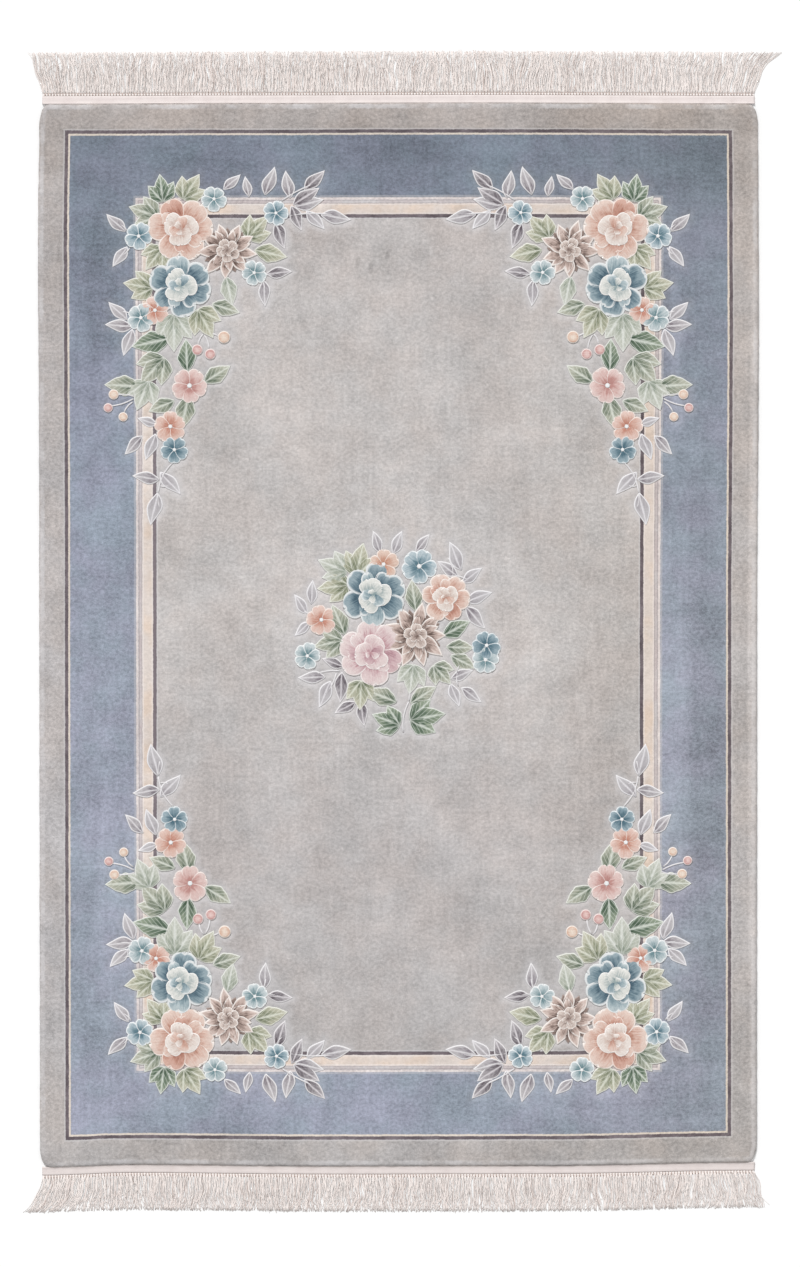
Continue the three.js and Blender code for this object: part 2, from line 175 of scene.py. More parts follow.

# Each silk's colours along a petal or leaf from its base to its tip, its rim's and its veins', and how wide
# its rim is. The pale rim is partly the outline's own silk and partly painted highlight where the carved
# bevel catches the light.
SILKS = table(
    "silk base middle tip rim vein rim_width",
    ("peach", (180, 132, 115), (211, 177, 163), (225, 203, 192), (245, 236, 230), (240, 222, 208), 3.8),
    ("coral", (158, 104, 88), (190, 143, 127), (211, 173, 159), (243, 227, 218), (226, 190, 172), 3.4),
    ("apricot", (194, 142, 120), (211, 177, 160), (222, 197, 183), (243, 231, 223), (240, 220, 206), 3.0),
    ("salmon", (192, 136, 119), (212, 175, 161), (224, 197, 187), (243, 231, 224), (238, 214, 202), 3.0),
    ("rose", (186, 144, 150), (213, 189, 190), (226, 210, 208), (243, 235, 233), (206, 172, 174), 3.8),
    ("deep_rose", (154, 108, 119), (189, 154, 160), (211, 184, 186), (241, 230, 227), (220, 190, 192), 3.4),
    ("blush", (186, 138, 132), (211, 178, 172), (223, 200, 195), (242, 232, 227), (238, 216, 210), 3.0),
    ("shell", (186, 152, 139), (214, 197, 188), (231, 221, 214), (246, 240, 236), (205, 178, 166), 3.2),
    ("ivory", (140, 158, 160), (194, 199, 196), (223, 223, 218), (245, 243, 240), (180, 188, 186), 3.2),
    ("deep_blue", (66, 90, 105), (108, 130, 141), (152, 169, 176), (231, 233, 233), (130, 152, 163), 6.2),
    ("mist_blue", (98, 122, 133), (143, 162, 169), (185, 197, 200), (234, 236, 236), (176, 190, 196), 4.6),
    ("teal", (92, 122, 134), (148, 168, 177), (187, 199, 204), (240, 243, 244), (220, 228, 231), 3.6),
    ("sea", (110, 138, 144), (162, 178, 182), (198, 207, 209), (241, 243, 243), (225, 232, 233), 3.6),
    ("deep_teal", (76, 106, 120), (118, 141, 152), (154, 172, 180), (230, 235, 237), (206, 217, 222), 3.2),
    ("umber", (78, 62, 58), (98, 82, 77), (140, 122, 115), (178, 160, 152), (150, 130, 122), 1.6),
    ("lotus", (92, 74, 68), (188, 167, 158), (223, 205, 197), (244, 237, 232), (170, 149, 140), 4.0),
    ("lotus_heart", (110, 92, 86), (182, 165, 157), (216, 202, 194), (243, 236, 231), (150, 130, 122), 2.8),
    ("leaf", (90, 104, 88), (140, 147, 131), (180, 181, 166), (231, 232, 226), (224, 227, 217), 3.0),
    ("olive", (104, 112, 90), (156, 159, 137), (191, 189, 170), (233, 233, 224), (226, 227, 214), 3.0),
    ("deep_leaf", (66, 86, 68), (101, 118, 100), (144, 155, 136), (226, 229, 223), (221, 226, 217), 3.0),
    ("pale_leaf", (136, 146, 132), (176, 181, 168), (198, 200, 190), (231, 232, 227), (228, 230, 224), 2.8),
    ("mauve", (126, 118, 125), (168, 163, 167), (186, 182, 184), (238, 236, 237), (232, 229, 231), 3.4),
    ("smoke", (92, 83, 90), (130, 124, 129), (170, 165, 168), (236, 233, 234), (228, 223, 226), 3.2),
    ("mist", (160, 155, 159), (183, 179, 182), (192, 189, 191), (240, 238, 240), (234, 231, 234), 3.4),
    ("bud", (214, 178, 158), (226, 204, 188), (233, 218, 204), (243, 236, 229), (240, 227, 212), 2.4),
    ("pink_bud", (196, 148, 145), (214, 178, 173), (226, 198, 193), (241, 229, 226), (236, 212, 208), 2.4),
    ("stem", (212, 209, 210), (222, 219, 220), (228, 225, 227), (236, 234, 235), (236, 233, 235), 1.0),
    ("pearl", (226, 228, 228), (238, 239, 239), (244, 244, 244), (236, 236, 236), (240, 240, 240), 1.0),
)
SILK_NUMBERS = {row["silk"]: number for number, row in enumerate(SILKS)}

# One corner's spray. u and v run inwards, across and along the rug, from the inner guard's corner,
# and turn is in degrees from u towards v.
SPRAY = {
    "blades": table(
        "u v length turn silk bend",
        (243, -41, 58, -48, "mauve", 0.1),
        (286, -28, 54, -95, "mauve", -0.1),
        (336, -43, 76, -80, "mauve", 0.14),
        (391, -33, 72, -92, "mauve", -0.12),
        (452, -46, 72, -50, "smoke", 0.1),
        (432, -5, 80, -38, "smoke", 0.08),
        (442, 17, 76, -10, "mauve", -0.06),
        (510, 47, 78, 3, "mauve", 0.1),
        (412, 52, 70, 62, "smoke", 0.08),
        (455, 60, 66, 52, "mist", -0.1),
        (371, 95, 74, 65, "smoke", 0.1),
        (366, 194, 66, 0, "smoke", -0.08),
        (331, 244, 68, 80, "mauve", 0.1),
        (-46, 61, 66, -130, "mauve", -0.12),
        (-36, 152, 64, 120, "mist", 0.1),
        (-42, 286, 66, -130, "mist", -0.1),
        (-42, 329, 72, 178, "mauve", 0.1),
        (-14, 370, 72, 100, "mist", 0.14),
        (29, 571, 54, -165, "mist", 0.05),
        (-8, 628, 66, 140, "mauve", -0.1),
        (41, 636, 72, 105, "mist", 0.1),
        (25, 717, 70, 180, "mauve", 0.12),
        (84, 730, 76, 55, "mist", -0.12),
        (51, 794, 84, 95, "mist", 0.12),
    ),
    "leaves": table(
        "u v length turn silk lobes",
        (65, -20, 62, -100, "deep_leaf", 3),
        (138, -24, 66, -60, "olive", 3),
        (25, 39, 68, -163, "leaf", 3),
        (52, 153, 62, 125, "olive", 3),
        (11, 226, 66, -172, "olive", 3),
        (306, 78, 66, -50, "olive", 3),
        (336, 140, 66, 10, "olive", 1),
        (238, 231, 60, 75, "pale_leaf", 1),
        (223, 279, 58, 15, "leaf", 1),
        (177, 316, 72, 60, "olive", 3),
        (100, 339, 84, 88, "pale_leaf", 3),
        (50, 368, 78, 165, "deep_leaf", 1),
        (48, 438, 78, 130, "leaf", 3),
        (129, 410, 66, -95, "deep_leaf", 1),
        (200, 453, 62, -35, "leaf", 1),
        (73, 529, 56, 155, "leaf", 1),
        (128, 539, 70, 100, "leaf", 1),
        (-24, 480, 72, 180, "leaf", 1),
        (21, 500, 70, 110, "pale_leaf", 3),
    ),
    "blossoms": table(
        "u v radius turn silk",
        (200, 4, 32, 20, "sea"),
        (357, 40, 32, 0, "teal"),
        (9, 98, 35, 10, "teal"),
        (302, 192, 33, 30, "sea"),
        (14, 306, 36, 5, "sea"),
        (50, 287, 36, 40, "salmon"),
        (137, 479, 46, 15, "blush"),
        (88, 583, 40, 50, "salmon"),
        (98, 642, 34, 18, "deep_teal"),
    ),
    "buds": table(
        "u v radius silk",
        (-56, 501, 13, "bud"),
        (-70, 535, 12, "pink_bud"),
        (-32, 558, 12, "bud"),
        (225, 356, 16, "bud"),
        (157, 388, 14, "pink_bud"),
        (190, 399, 14, "pink_bud"),
    ),
    "stems": table(
        "u v to_u to_v bow",
        (-3, 507, -44, 501, 3),
        (-6, 512, -60, 530, -3),
        (-8, 520, -30, 547, 3),
        (175, 344, 211, 353, -3),
        (172, 348, 160, 375, 3),
        (175, 350, 187, 386, -3),
        (94, 674, 56, 752, 8),
        (56, 752, 60, 790, 2),
        (62, 735, 84, 732, 2),
        (395, 46, 500, 44, -4),
        (372, 8, 452, -34, -3),
        (388, -8, 391, -30, 2),
        (356, 70, 371, 88, 2),
        (330, 196, 362, 194, 3),
        (318, 210, 330, 236, -3),
        (-20, 84, -40, 66, 2),
        (-14, 128, -32, 146, -2),
        (-10, 296, -36, 290, 2),
        (-8, 320, -38, 328, -2),
    ),
    "flowers": table(
        "u v radius turn kind",
        (234, 135, 78, 10, "lotus"),
        (114, 226, 80, 20, "blue_peony"),
        (116, 81, 83, 0, "peach_peony"),
    ),
}

# The round bouquet in the middle of the field. u and v are from the rug's middle, towards +X and +Y.
BOUQUET = {
    "blades": table(
        "u v length turn silk bend",
        (-58, 235, 60, 115, "mauve", -0.1),
        (1, 233, 64, 60, "mist", 0.12),
        (64, 231, 58, 45, "mauve", 0.1),
        (141, 198, 78, 120, "mist", -0.12),
        (124, 165, 66, 150, "mauve", -0.1),
        (189, 148, 64, 30, "mist", 0.1),
        (206, 93, 72, 12, "mist", 0.1),
        (199, 46, 76, -42, "mauve", -0.1),
        (-217, 108, 62, 80, "mist", 0.1),
        (-251, 76, 60, 130, "mist", -0.1),
        (-246, 17, 54, -145, "mist", 0.1),
        (-221, -105, 70, 175, "mauve", 0.1),
        (-168, -73, 60, 165, "smoke", -0.08),
        (-150, -134, 78, -100, "smoke", 0.1),
        (-191, -150, 74, -120, "mist", 0.1),
        (-134, -188, 62, -145, "smoke", -0.1),
        (-89, -200, 66, -75, "smoke", -0.1),
        (163, -104, 62, 15, "mauve", 0.1),
        (141, -155, 64, -75, "mist", 0.1),
        (188, -151, 64, -30, "mauve", -0.1),
    ),
    "leaves": table(
        "u v length turn silk lobes",
        (-162, 174, 70, 155, "pale_leaf", 3),
        (-98, 186, 74, 75, "olive", 3),
        (-162, 124, 70, -175, "olive", 3),
        (-148, 31, 66, 110, "leaf", 1),
        (-175, -20, 66, -170, "leaf", 3),
        (41, 92, 64, 95, "leaf", 1),
        (141, 11, 62, 25, "deep_leaf", 1),
        (150, -33, 56, -5, "leaf", 1),
        (158, -67, 56, -30, "leaf", 1),
        (108, -100, 58, -50, "leaf", 3),
        (32, -109, 66, -100, "pale_leaf", 3),
        (-98, -150, 66, -95, "olive", 3),
        (-35, -158, 66, 155, "leaf", 1),
        (57, -159, 62, 30, "leaf", 1),
        (-27, -217, 66, 156, "deep_leaf", 3),
        (69, -212, 80, 8, "deep_leaf", 3),
    ),
    "blossoms": table(
        "u v radius turn silk",
        (-38, 179, 38, 90, "apricot"),
        (53, 174, 45, 60, "teal"),
        (-196, 38, 39, 30, "salmon"),
        (-232, -54, 34, 0, "sea"),
        (225, -27, 36, 45, "deep_teal"),
        (222, -64, 35, 10, "sea"),
    ),
    "buds": [],
    "stems": table(
        "u v to_u to_v bow",
        (12, -248, 26, -170, 6),
        (26, -170, 22, -118, -5),
        (-205, -98, -150, -92, 3),
        (-186, -150, -158, -98, -4),
        (150, -95, 165, -60, 3),
        (150, -98, 152, -130, -3),
        (138, 140, 128, 195, -5),
        (134, 150, 178, 140, 3),
        (168, 72, 190, 90, 2),
        (-240, 60, -222, 44, 2),
    ),
    "flowers": table(
        "u v radius turn kind",
        (120, 94, 63, 50, "peach_peony"),
        (-63, 102, 83, 20, "blue_peony"),
        (44, -3, 84, 0, "lotus"),
        (-70, -46, 84, 95, "rose_peony"),
    ),
}

# A peony's petals, from the lowest to the topmost: direction in degrees, where each starts and ends
# and how wide it is as shares of the flower's radius, and its sideways bend as a share of its length.
PEONY_PETALS = table(
    "turn base tip width shape silk bend",
    (58, 0.1, 1.0, 0.84, "ruffled", "outer", 0.05),
    (-2, 0.1, 1.0, 0.8, "heart", "outer", -0.04),
    (182, 0.1, 1.03, 0.86, "ruffled", "outer", 0.04),
    (122, 0.1, 0.98, 0.74, "round", "outer", -0.05),
    (-58, 0.1, 1.02, 0.84, "ruffled", "outer", 0.06),
    (-116, 0.1, 0.98, 0.76, "heart", "accent", 0.03),
    (28, 0.08, 0.78, 0.56, "ruffled", "outer", 0.1),
    (-150, 0.08, 0.74, 0.54, "round", "outer", 0.1),
    (96, 0.08, 0.72, 0.5, "heart", "accent", -0.08),
    (205, -0.14, 0.56, 0.72, "ruffled", "cup", 0.1),
    (325, -0.14, 0.54, 0.7, "round", "cup", 0.1),
    (85, -0.14, 0.52, 0.7, "ruffled", "cup", 0.1),
    (260, -0.12, 0.4, 0.54, "round", "heart", 0.12),
    (20, -0.12, 0.38, 0.54, "round", "cup", 0.12),
    (140, -0.12, 0.37, 0.5, "round", "heart", 0.12),
    (210, -0.1, 0.25, 0.36, "round", "cup", 0.14),
    (330, -0.1, 0.23, 0.34, "round", "accent", 0.14),
    (90, -0.08, 0.18, 0.28, "round", "cup", 0.14),
)
LOTUS_RINGS = table(
    "petals turn base tip width shape silk kind lift",
    (9, 20, 0.1, 0.8, 0.34, "pointed", "umber", "petal", -0.6),
    (9, 0, 0.1, 1.02, 0.4, "pointed", "lotus", "petal", 0.0),
    (7, 22, 0.04, 0.78, 0.35, "pointed", "lotus", "petal", 0.5),
    (5, 8, -0.04, 0.42, 0.36, "ruffled", "lotus_heart", "cup", 0.5),
    (4, 40, -0.08, 0.24, 0.26, "round", "lotus_heart", "cup", 0.9),
)
FLOWER_SILKS = {
    "peach_peony": {"outer": "peach", "accent": "coral", "cup": "shell", "heart": "peach"},
    "blue_peony": {"outer": "deep_blue", "accent": "mist_blue", "cup": "ivory", "heart": "mist_blue"},
    "rose_peony": {"outer": "rose", "accent": "deep_rose", "cup": "rose", "heart": "deep_rose"},
}

# A leaf's lobes: direction, and length and width as shares of the leaf's length.
LEAF_LOBES = {
    1: table("turn length width lift", (0, 1.28, 0.7, 0.0)),
    3: table("turn length width lift", (-36, 0.92, 0.6, 0.0), (35, 0.95, 0.6, 0.12), (0, 1.16, 0.64, 0.4)),
}

# Heights of the carved forms' faces above the pile's ground.
LEVELS = {"blade": 0.3, "stem": 0.5, "leaf": 0.7, "bud": 1.0, "blossom": 1.2, "petal": 1.6, "cup": 2.6}
# How late along each kind of form its base colour gives way to its tip's.
LATENESS = {"blade": 1.0, "leaf": 1.0, "blossom": 1.15, "petal": 1.6, "cup": 1.5}
CARVED_FOOT = PILE_HEIGHT - 3.2
CARVE_DEPTH = 1.9
CARVE_REACH = 4.2
HALO_REACH = 9.0

# The pile's ground.
GRID_STEP = 14.0
EDGE_STEP = 12.0
GROOVE_DEPTH = 1.0
GROOVE_REACH = 2.4

# The fringe: its bundles of yarns, and at each end their mean length and how far those at the corners
# splay outwards by mid-length and at the tip.
BUNDLES = 240
YARNS = 7
YARN_RADIUS = 1.15
YARN_STEPS = 12
STRAY_SHARE = 0.05
KNOT_SIDES = 8
KNOT_ROWS = 5
FLARE_REACH = 260.0
STRIP_DEPTH = 5.0
ENDS = table(
    "name facing length left_middle left_tip right_middle right_tip",
    ("head", 1, 110, 13, 34, 18, 56),
    ("foot", -1, 94, 14, 52, 11, 19),
)


def eased(share):
    """A smooth rise from 0 to 1."""
    share = np.clip(share, 0.0, 1.0)
    return share * share * (3 - 2 * share)


def wander(rows, share):
    """How far an edge strays at shares of its length, eased between its rows."""
    share = np.clip(share, 0.0, 1.0)
    at = np.array([row["at"] for row in rows], float)
    out = np.array([row["out"] for row in rows], float)
    i = np.clip(np.searchsorted(at, share), 1, len(at) - 1)
    return out[i - 1] + (out[i] - out[i - 1]) * eased((share - at[i - 1]) / (at[i] - at[i - 1]))


def laid(x, y):
    """Takes points of the evenly drawn rug to where they lie."""
    side_share, end_share = y / (2 * PILE_HALF[1]) + 0.5, x / (2 * PILE_HALF[0]) + 0.5
    side = np.where(x < 0, wander(WANDER["left"], side_share), wander(WANDER["right"], side_share))
    end = np.where(y < 0, wander(WANDER["foot"], end_share), wander(WANDER["head"], end_share))
    return x * (1 + side / PILE_HALF[0]), y * (1 + end / PILE_HALF[1])


def swell(x, y):
    """The pile's slight unevenness."""
    broad = np.sin(x / 83 + 1.3) * np.sin(y / 97 + 0.4) + 0.7 * np.sin(x / 41 - y / 57)
    fine = np.sin(x / 9.1 + 2 * np.sin(y / 13)) * np.sin(y / 7.7 + 1.7 * np.sin(x / 11))
    return 0.26 * broad + 0.1 * fine


# Meshes.


class Heap:
    """Vertices, faces and point attributes of one mesh, gathered piece by piece."""

    def __init__(self):
        self.points, self.faces, self.silks, self.fields = [], [], [], {}
        self.count = 0

    def add(self, points, faces, silk=0, **fields):
        """Adds points, blocks of faces with equal corners, and one value a point for each field."""
        self.points.append(np.asarray(points, float))
        for block in faces:
            self.faces.append(np.asarray(block, int) + self.count)
            self.silks.append(np.full(len(block), silk))
        for name, values in fields.items():
            self.fields.setdefault(name, []).append(np.asarray(values, float).reshape(len(points), -1))
        self.count += len(points)

    def mesh(self, name, materials):
        """One object of all that was gathered, in metres."""
        data = bpy.data.meshes.new(name)
        faces = [face for block in self.faces for face in block.tolist()]
        data.from_pydata(np.concatenate(self.points) * MM, [], faces)
        for field, blocks in self.fields.items():
            values = np.concatenate(blocks)
            is_vector = values.shape[1] == 3
            layer = data.attributes.new(field, "FLOAT_VECTOR" if is_vector else "FLOAT", "POINT")
            layer.data.foreach_set("vector" if is_vector else "value", values.astype(np.float32).ravel())
        for material in materials:
            data.materials.append(material)
        data.polygons.foreach_set("material_index", np.concatenate(self.silks).astype(np.int32))
        data.polygons.foreach_set("use_smooth", np.ones(len(faces), bool))
        data.update()
        piece = bpy.data.objects.new(name, data)
        bpy.context.scene.collection.objects.link(piece)
        return piece


class Spot:
    """A place and a direction in the rug's plan, mirrored where its axes are."""

    def __init__(self, origin, axes):
        self.origin, self.axes = np.array(origin, float), np.array(axes, float)

    def at(self, along, across, turn=0.0):
        c, s = math.cos(math.radians(turn)), math.sin(math.radians(turn))
        origin = np.array([along, across]) @ self.axes + self.origin
        return Spot(origin, np.array([[c, s], [-s, c]]) @ self.axes)

    def plan(self, along, across):
        points = np.stack([along, across], -1) @ self.axes + self.origin
        return points[..., 0], points[..., 1]

    def is_mirrored(self):
        return np.linalg.det(self.axes) < 0


def grid_quads(rows, columns, is_flipped):
    """Quads of a grid of points kept row by row."""
    row, column = np.meshgrid(np.arange(rows - 1), np.arange(columns - 1), indexing="ij")
    corner = (row * columns + column).ravel()
    quads = np.stack([corner, corner + columns, corner + columns + 1, corner + 1], 1)
    return quads[:, ::-1] if is_flipped else quads


def grid_border(rows, columns):
    """A grid's border points in order round it."""
    first = np.arange(columns)
    right = np.arange(1, rows) * columns + columns - 1
    last = (rows - 1) * columns + np.arange(columns - 2, -1, -1)
    left = np.arange(rows - 2, 0, -1) * columns
    return np.concatenate([first, right, last, left])


# The carved forms: each is a grid of points on top, closed by a skirt and a base inside the pile.


class Carving(Heap):
    """A heap of carved forms, with their outlines in the rug's plan."""

    def __init__(self):
        super().__init__()
        self.outlines = []

    def add_form(self, spot, along, across, height, silk, tone):
        """Adds one form. tone holds how far along, how near the rim and how near a vein a point is."""
        rows, columns = along.shape
        x, y = spot.plan(along.ravel(), across.ravel())
        top = np.stack([*laid(x, y), PILE_HEIGHT + height.ravel() + swell(x, y)], 1)
        border = grid_border(rows, columns)
        base = top[border].copy()
        base[:, 2] = CARVED_FOOT
        points = np.concatenate([top, base, base.mean(0)[None]])
        around = np.arange(len(border))
        after = np.roll(around, -1)
        foot, foot_after = len(top) + around, len(top) + after
        skirt = np.stack([border, border[after], foot_after, foot], 1)
        under = np.stack([np.full(len(border), len(points) - 1), foot, foot_after], 1)
        is_flipped = not spot.is_mirrored()
        if is_flipped:
            skirt, under = skirt[:, ::-1], under[:, ::-1]
        thread = np.stack([across.ravel(), along.ravel(), np.full(len(top), rng.uniform(0, 99))], 1)
        pick = np.concatenate([np.arange(len(top)), border, border[:1]])
        tones = np.stack([part.ravel() for part in tone], 1)
        faces = [grid_quads(rows, columns, is_flipped), skirt, under]
        self.add(points, faces, SILK_NUMBERS[silk], tone=tones[pick], thread=thread[pick])
        self.outlines.append(np.stack([x, y], 1)[border])


RIM_STEPS = np.array([0.0, 1.4, 3.0, 4.8])
INNER_SHARES = np.array([0.62, 0.3])
RIM_REACH = 12.0
BLADE_WIDTH = 0.48
SHAPES = {
    row["shape"]: row
    for row in table(
        "shape start widest roundness is_round notch ruffle teeth",
        ("round", 0.36, 0.62, 2.0, True, 0.03, 0.0, 0.0),
        ("ruffled", 0.3, 0.64, 2.2, True, 0.04, 0.028, 0.0),
        ("heart", 0.22, 0.64, 2.2, True, 0.1, 0.01, 0.0),
        ("pointed", 0.34, 0.52, 1.5, False, 0.0, 0.0, 0.0),
        ("leaf", 0.14, 0.44, 1.45, False, 0.0, 0.0, 0.09),
        ("blade", 0.1, 0.44, 1.4, False, 0.0, 0.0, 0.0),
    )
}


def half_width(shape, share):
    """Half the width of a form along its spine, as a share of the most."""
    rise = np.sin(np.clip(share / shape["widest"], 0, 1) * math.pi / 2)
    past = np.clip((share - shape["widest"]) / (1 - shape["widest"]), 0, 1) ** shape["roundness"]
    narrowed = (1 - past) ** (1 / shape["roundness"] if shape["is_round"] else 1)
    teeth = 1 + shape["teeth"] * np.abs(np.sin(share * math.pi * 3.5))
    return (shape["start"] + (1 - shape["start"]) * rise) * narrowed * teeth


def rim_height(depth):
    """The carved edge: a bevel, a raised crest, a shallow channel and the crowned inside."""
    return np.interp(depth, [0, 1.4, 3.0, 4.8, 9, 20], [-1.0, 0.5, 0.15, 0.45, 0.85, 1.2])


def add_petal(carving, spot, kind, outline, length, width, silk, bend=0.0, vein=0.0, lift=0.0):
    """Adds a petal, leaf or blade that runs from the spot along its first axis."""
    shape = SHAPES[outline]
    tip = 1 - RIM_STEPS[::-1] / length
    count = max(5, int(length / (4.5 if shape["teeth"] else 7)))
    share = np.concatenate([np.linspace(0, tip[0], count, endpoint=False), tip])[:, None]
    half = np.maximum(half_width(shape, share) * width / 2, 0.2)
    outer = half - RIM_STEPS * np.minimum(1, half / (1.6 * RIM_STEPS[-1]))
    columns = np.concatenate([outer, outer[:, -1:] * INNER_SHARES], 1)
    across = np.concatenate([-columns, np.zeros_like(half), columns[:, ::-1]], 1)
    share = np.repeat(share, across.shape[1], 1)
    side = across / half
    ruffle = shape["ruffle"] * (1 - np.cos(side * 8 + carving.count))
    dip = shape["notch"] * np.exp(-((side / 0.22) ** 2)) + ruffle
    along = share * length * (1 - dip * share**3)
    depth = np.clip(np.minimum(half - np.abs(across), length * (1 - share)), 0, RIM_REACH)
    crease = vein * np.exp(-((across / 1.5) ** 2)) * np.clip(depth / 4, 0, 1)
    height = LEVELS[kind] + rim_height(depth) - 0.5 * crease
    height = height + lift * (0.3 + 0.7 * eased(share)) + 0.3 * side
    tone = [share ** LATENESS[kind] + 0.2 * side**2, depth, crease]
    curved = across + bend * length * np.sin(share * math.pi / 2) ** 2
    carving.add_form(spot, along, curved, height, silk, tone)


def add_knob(carving, spot, kind, radius, rise, silk):
    """Adds a round domed bud or flower centre."""
    line = np.linspace(-1, 1, 7)
    v, u = np.meshgrid(line, line)
    along = radius * u * np.sqrt(1 - v * v / 2)
    across = radius * v * np.sqrt(1 - u * u / 2)
    out = np.clip(np.hypot(along, across) / radius, 0, 1)
    height = LEVELS[kind] + rise * np.sqrt(1 - 0.96 * out**2)
    carving.add_form(spot, along, across, height, silk, [1 - out, radius * (1 - out), np.zeros_like(out)])


def add_stem(carving, spot, row, width=3.4):
    """Adds a thin raised line that bows sideways between two points."""
    start, end = np.array([row["u"], row["v"]], float), np.array([row["to_u"], row["to_v"]], float)
    length = np.linalg.norm(end - start)
    turn = math.degrees(math.atan2(end[1] - start[1], end[0] - start[0]))
    count = max(4, int(length / 7))
    share, side = np.meshgrid(np.linspace(0, 1, count), [-1, -0.5, 0, 0.5, 1], indexing="ij")
    across = side * width / 2 + row["bow"] * np.sin(share * math.pi)
    height = LEVELS["stem"] + 0.8 * (1 - side**2)
    tone = [share, width / 2 * (1 - np.abs(side)), np.zeros_like(side)]
    carving.add_form(spot.at(*start, turn), share * length, across, height, "stem", tone)


def add_blade(carving, spot, row):
    length, width = row["length"], row["length"] * BLADE_WIDTH
    here = spot.at(row["u"], row["v"], row["turn"]).at(-length / 2, 0)
    add_petal(carving, here, "blade", "blade", length, width, row["silk"], row["bend"], 1.0)


def add_leaf(carving, spot, row):
    here = spot.at(row["u"], row["v"], row["turn"]).at(-row["length"] / 2, 0)
    for lobe in LEAF_LOBES[row["lobes"]]:
        length, width = lobe["length"] * row["length"], lobe["width"] * row["length"]
        turned = here.at(0, 0, lobe["turn"])
        add_petal(carving, turned, "leaf", "leaf", length, width, row["silk"], 0.04, 1.0, lobe["lift"])


def add_blossom(carving, spot, row):
    here = spot.at(row["u"], row["v"], row["turn"])
    for petal in range(5):
        size = row["radius"] * rng.uniform(0.95, 1.05)
        turned = here.at(0, 0, petal * 72 + rng.uniform(-5, 5)).at(size * 0.06, 0)
        length, width, lift = size * 0.96, size * 0.99, 0.12 * petal
        add_petal(carving, turned, "blossom", "heart", length, width, row["silk"], lift=lift)
    add_knob(carving, here, "cup", row["radius"] * 0.13, 0.4, "pearl")


def add_peony(carving, spot, row):
    here = spot.at(row["u"], row["v"], row["turn"])
    radius, silks = row["radius"], FLOWER_SILKS[row["kind"]]
    for number, petal in enumerate(PEONY_PETALS):
        length, width = (petal["tip"] - petal["base"]) * radius, petal["width"] * radius
        turned = here.at(0, 0, petal["turn"] + rng.uniform(-4, 4)).at(petal["base"] * radius, 0)
        kind = "cup" if petal["silk"] in ("cup", "heart") else "petal"
        shape, silk, lift = petal["shape"], silks[petal["silk"]], 0.1 * number
        add_petal(carving, turned, kind, shape, length, width, silk, petal["bend"], lift=lift)


def add_lotus(carving, spot, row):
    here = spot.at(row["u"], row["v"], row["turn"])
    radius = row["radius"]
    for ring in LOTUS_RINGS:
        kind, shape, silk = ring["kind"], ring["shape"], ring["silk"]
        width = ring["width"] * radius
        for petal in range(ring["petals"]):
            turn = ring["turn"] + 360 * petal / ring["petals"] + rng.uniform(-6, 6)
            length = (ring["tip"] - ring["base"]) * radius * rng.uniform(0.88, 1.04)
            turned = here.at(0, 0, turn).at(ring["base"] * radius, 0)
            lift = ring["lift"] + 0.05 * petal
            add_petal(carving, turned, kind, shape, length, width, silk, 0.06, 0.5, lift)


def carve(spot, rows):
    """All the carved forms of one spray or bouquet, the lowest first."""
    carving = Carving()
    for row in rows["blades"]:
        add_blade(carving, spot, row)
    for row in rows["stems"]:
        add_stem(carving, spot, row)
    for row in rows["leaves"]:
        add_leaf(carving, spot, row)
    for row in rows["buds"]:
        add_knob(carving, spot.at(row["u"], row["v"]), "bud", row["radius"], 1.2, row["silk"])
    for row in rows["blossoms"]:
        add_blossom(carving, spot, row)
    for row in rows["flowers"]:
        add_flower = add_lotus if row["kind"] == "lotus" else add_peony
        add_flower(carving, spot, row)
    return carving


def corner_spot(side_x, side_y):
    """The inner guard's corner, with its axes inwards across and along the rug."""
    return Spot((side_x * INNER_GUARD[0], side_y * INNER_GUARD[1]), [[-side_x, 0], [0, -side_y]])


# The pile's ground.


def rounded_rectangle(half, radius, step):
    """Points round a rectangle with rounded corners, anticlockwise, and their outward directions."""
    corners = []
    for side_x, side_y, start in ((1, 1, 0), (-1, 1, 90), (-1, -1, 180), (1, -1, 270)):
        centre = (half - radius) * (side_x, side_y)
        for angle in np.radians(np.linspace(start, start + 90, 6)):
            direction = np.array([math.cos(angle), math.sin(angle)])
            corners.append((centre + radius * direction, direction))
    points, outward = [], []
    for (start, out), (end, next_out) in zip(corners, corners[1:] + corners[:1]):
        count = max(1, int(np.linalg.norm(end - start) / step))
        share = np.arange(count)[:, None] / count
        points.append(start + (end - start) * share)
        outward.append(out + (next_out - out) * share)
    return np.concatenate(points), np.concatenate(outward)


def guard_lines():
    """Each carved line of the guards: its guard and how far in from the guard's outer edge it lies."""
    for guard, stripes in ((OUTER_GUARD, OUTER_STRIPES), (INNER_GUARD, INNER_STRIPES)):
        for inset in np.cumsum([0.0, *stripes.values()]):
            yield guard, inset


def nearest(points, others):
    """For each point, which of the others is nearest, and how far off it is."""
    tree = kdtree.KDTree(len(others))
    for number, other in enumerate(others):
        tree.insert((other[0], other[1], 0), number)
    tree.balance()
    found = [tree.find((point[0], point[1], 0)) for point in points]
    return np.array([hit[1] for hit in found]), np.array([hit[2] for hit in found])


def inside(points, outline):
    """Which points lie inside a closed outline."""
    x, y = points[:, 0][:, None], points[:, 1][:, None]
    x1, y1 = outline[:, 0], outline[:, 1]
    x2, y2 = np.roll(x1, -1), np.roll(y1, -1)
    crosses = (y1 > y) != (y2 > y)
    at = x1 + (y - y1) / np.where(y2 == y1, 1e-9, y2 - y1) * (x2 - x1)
    return (np.sum(crosses & (x < at), 1) % 2).astype(bool)


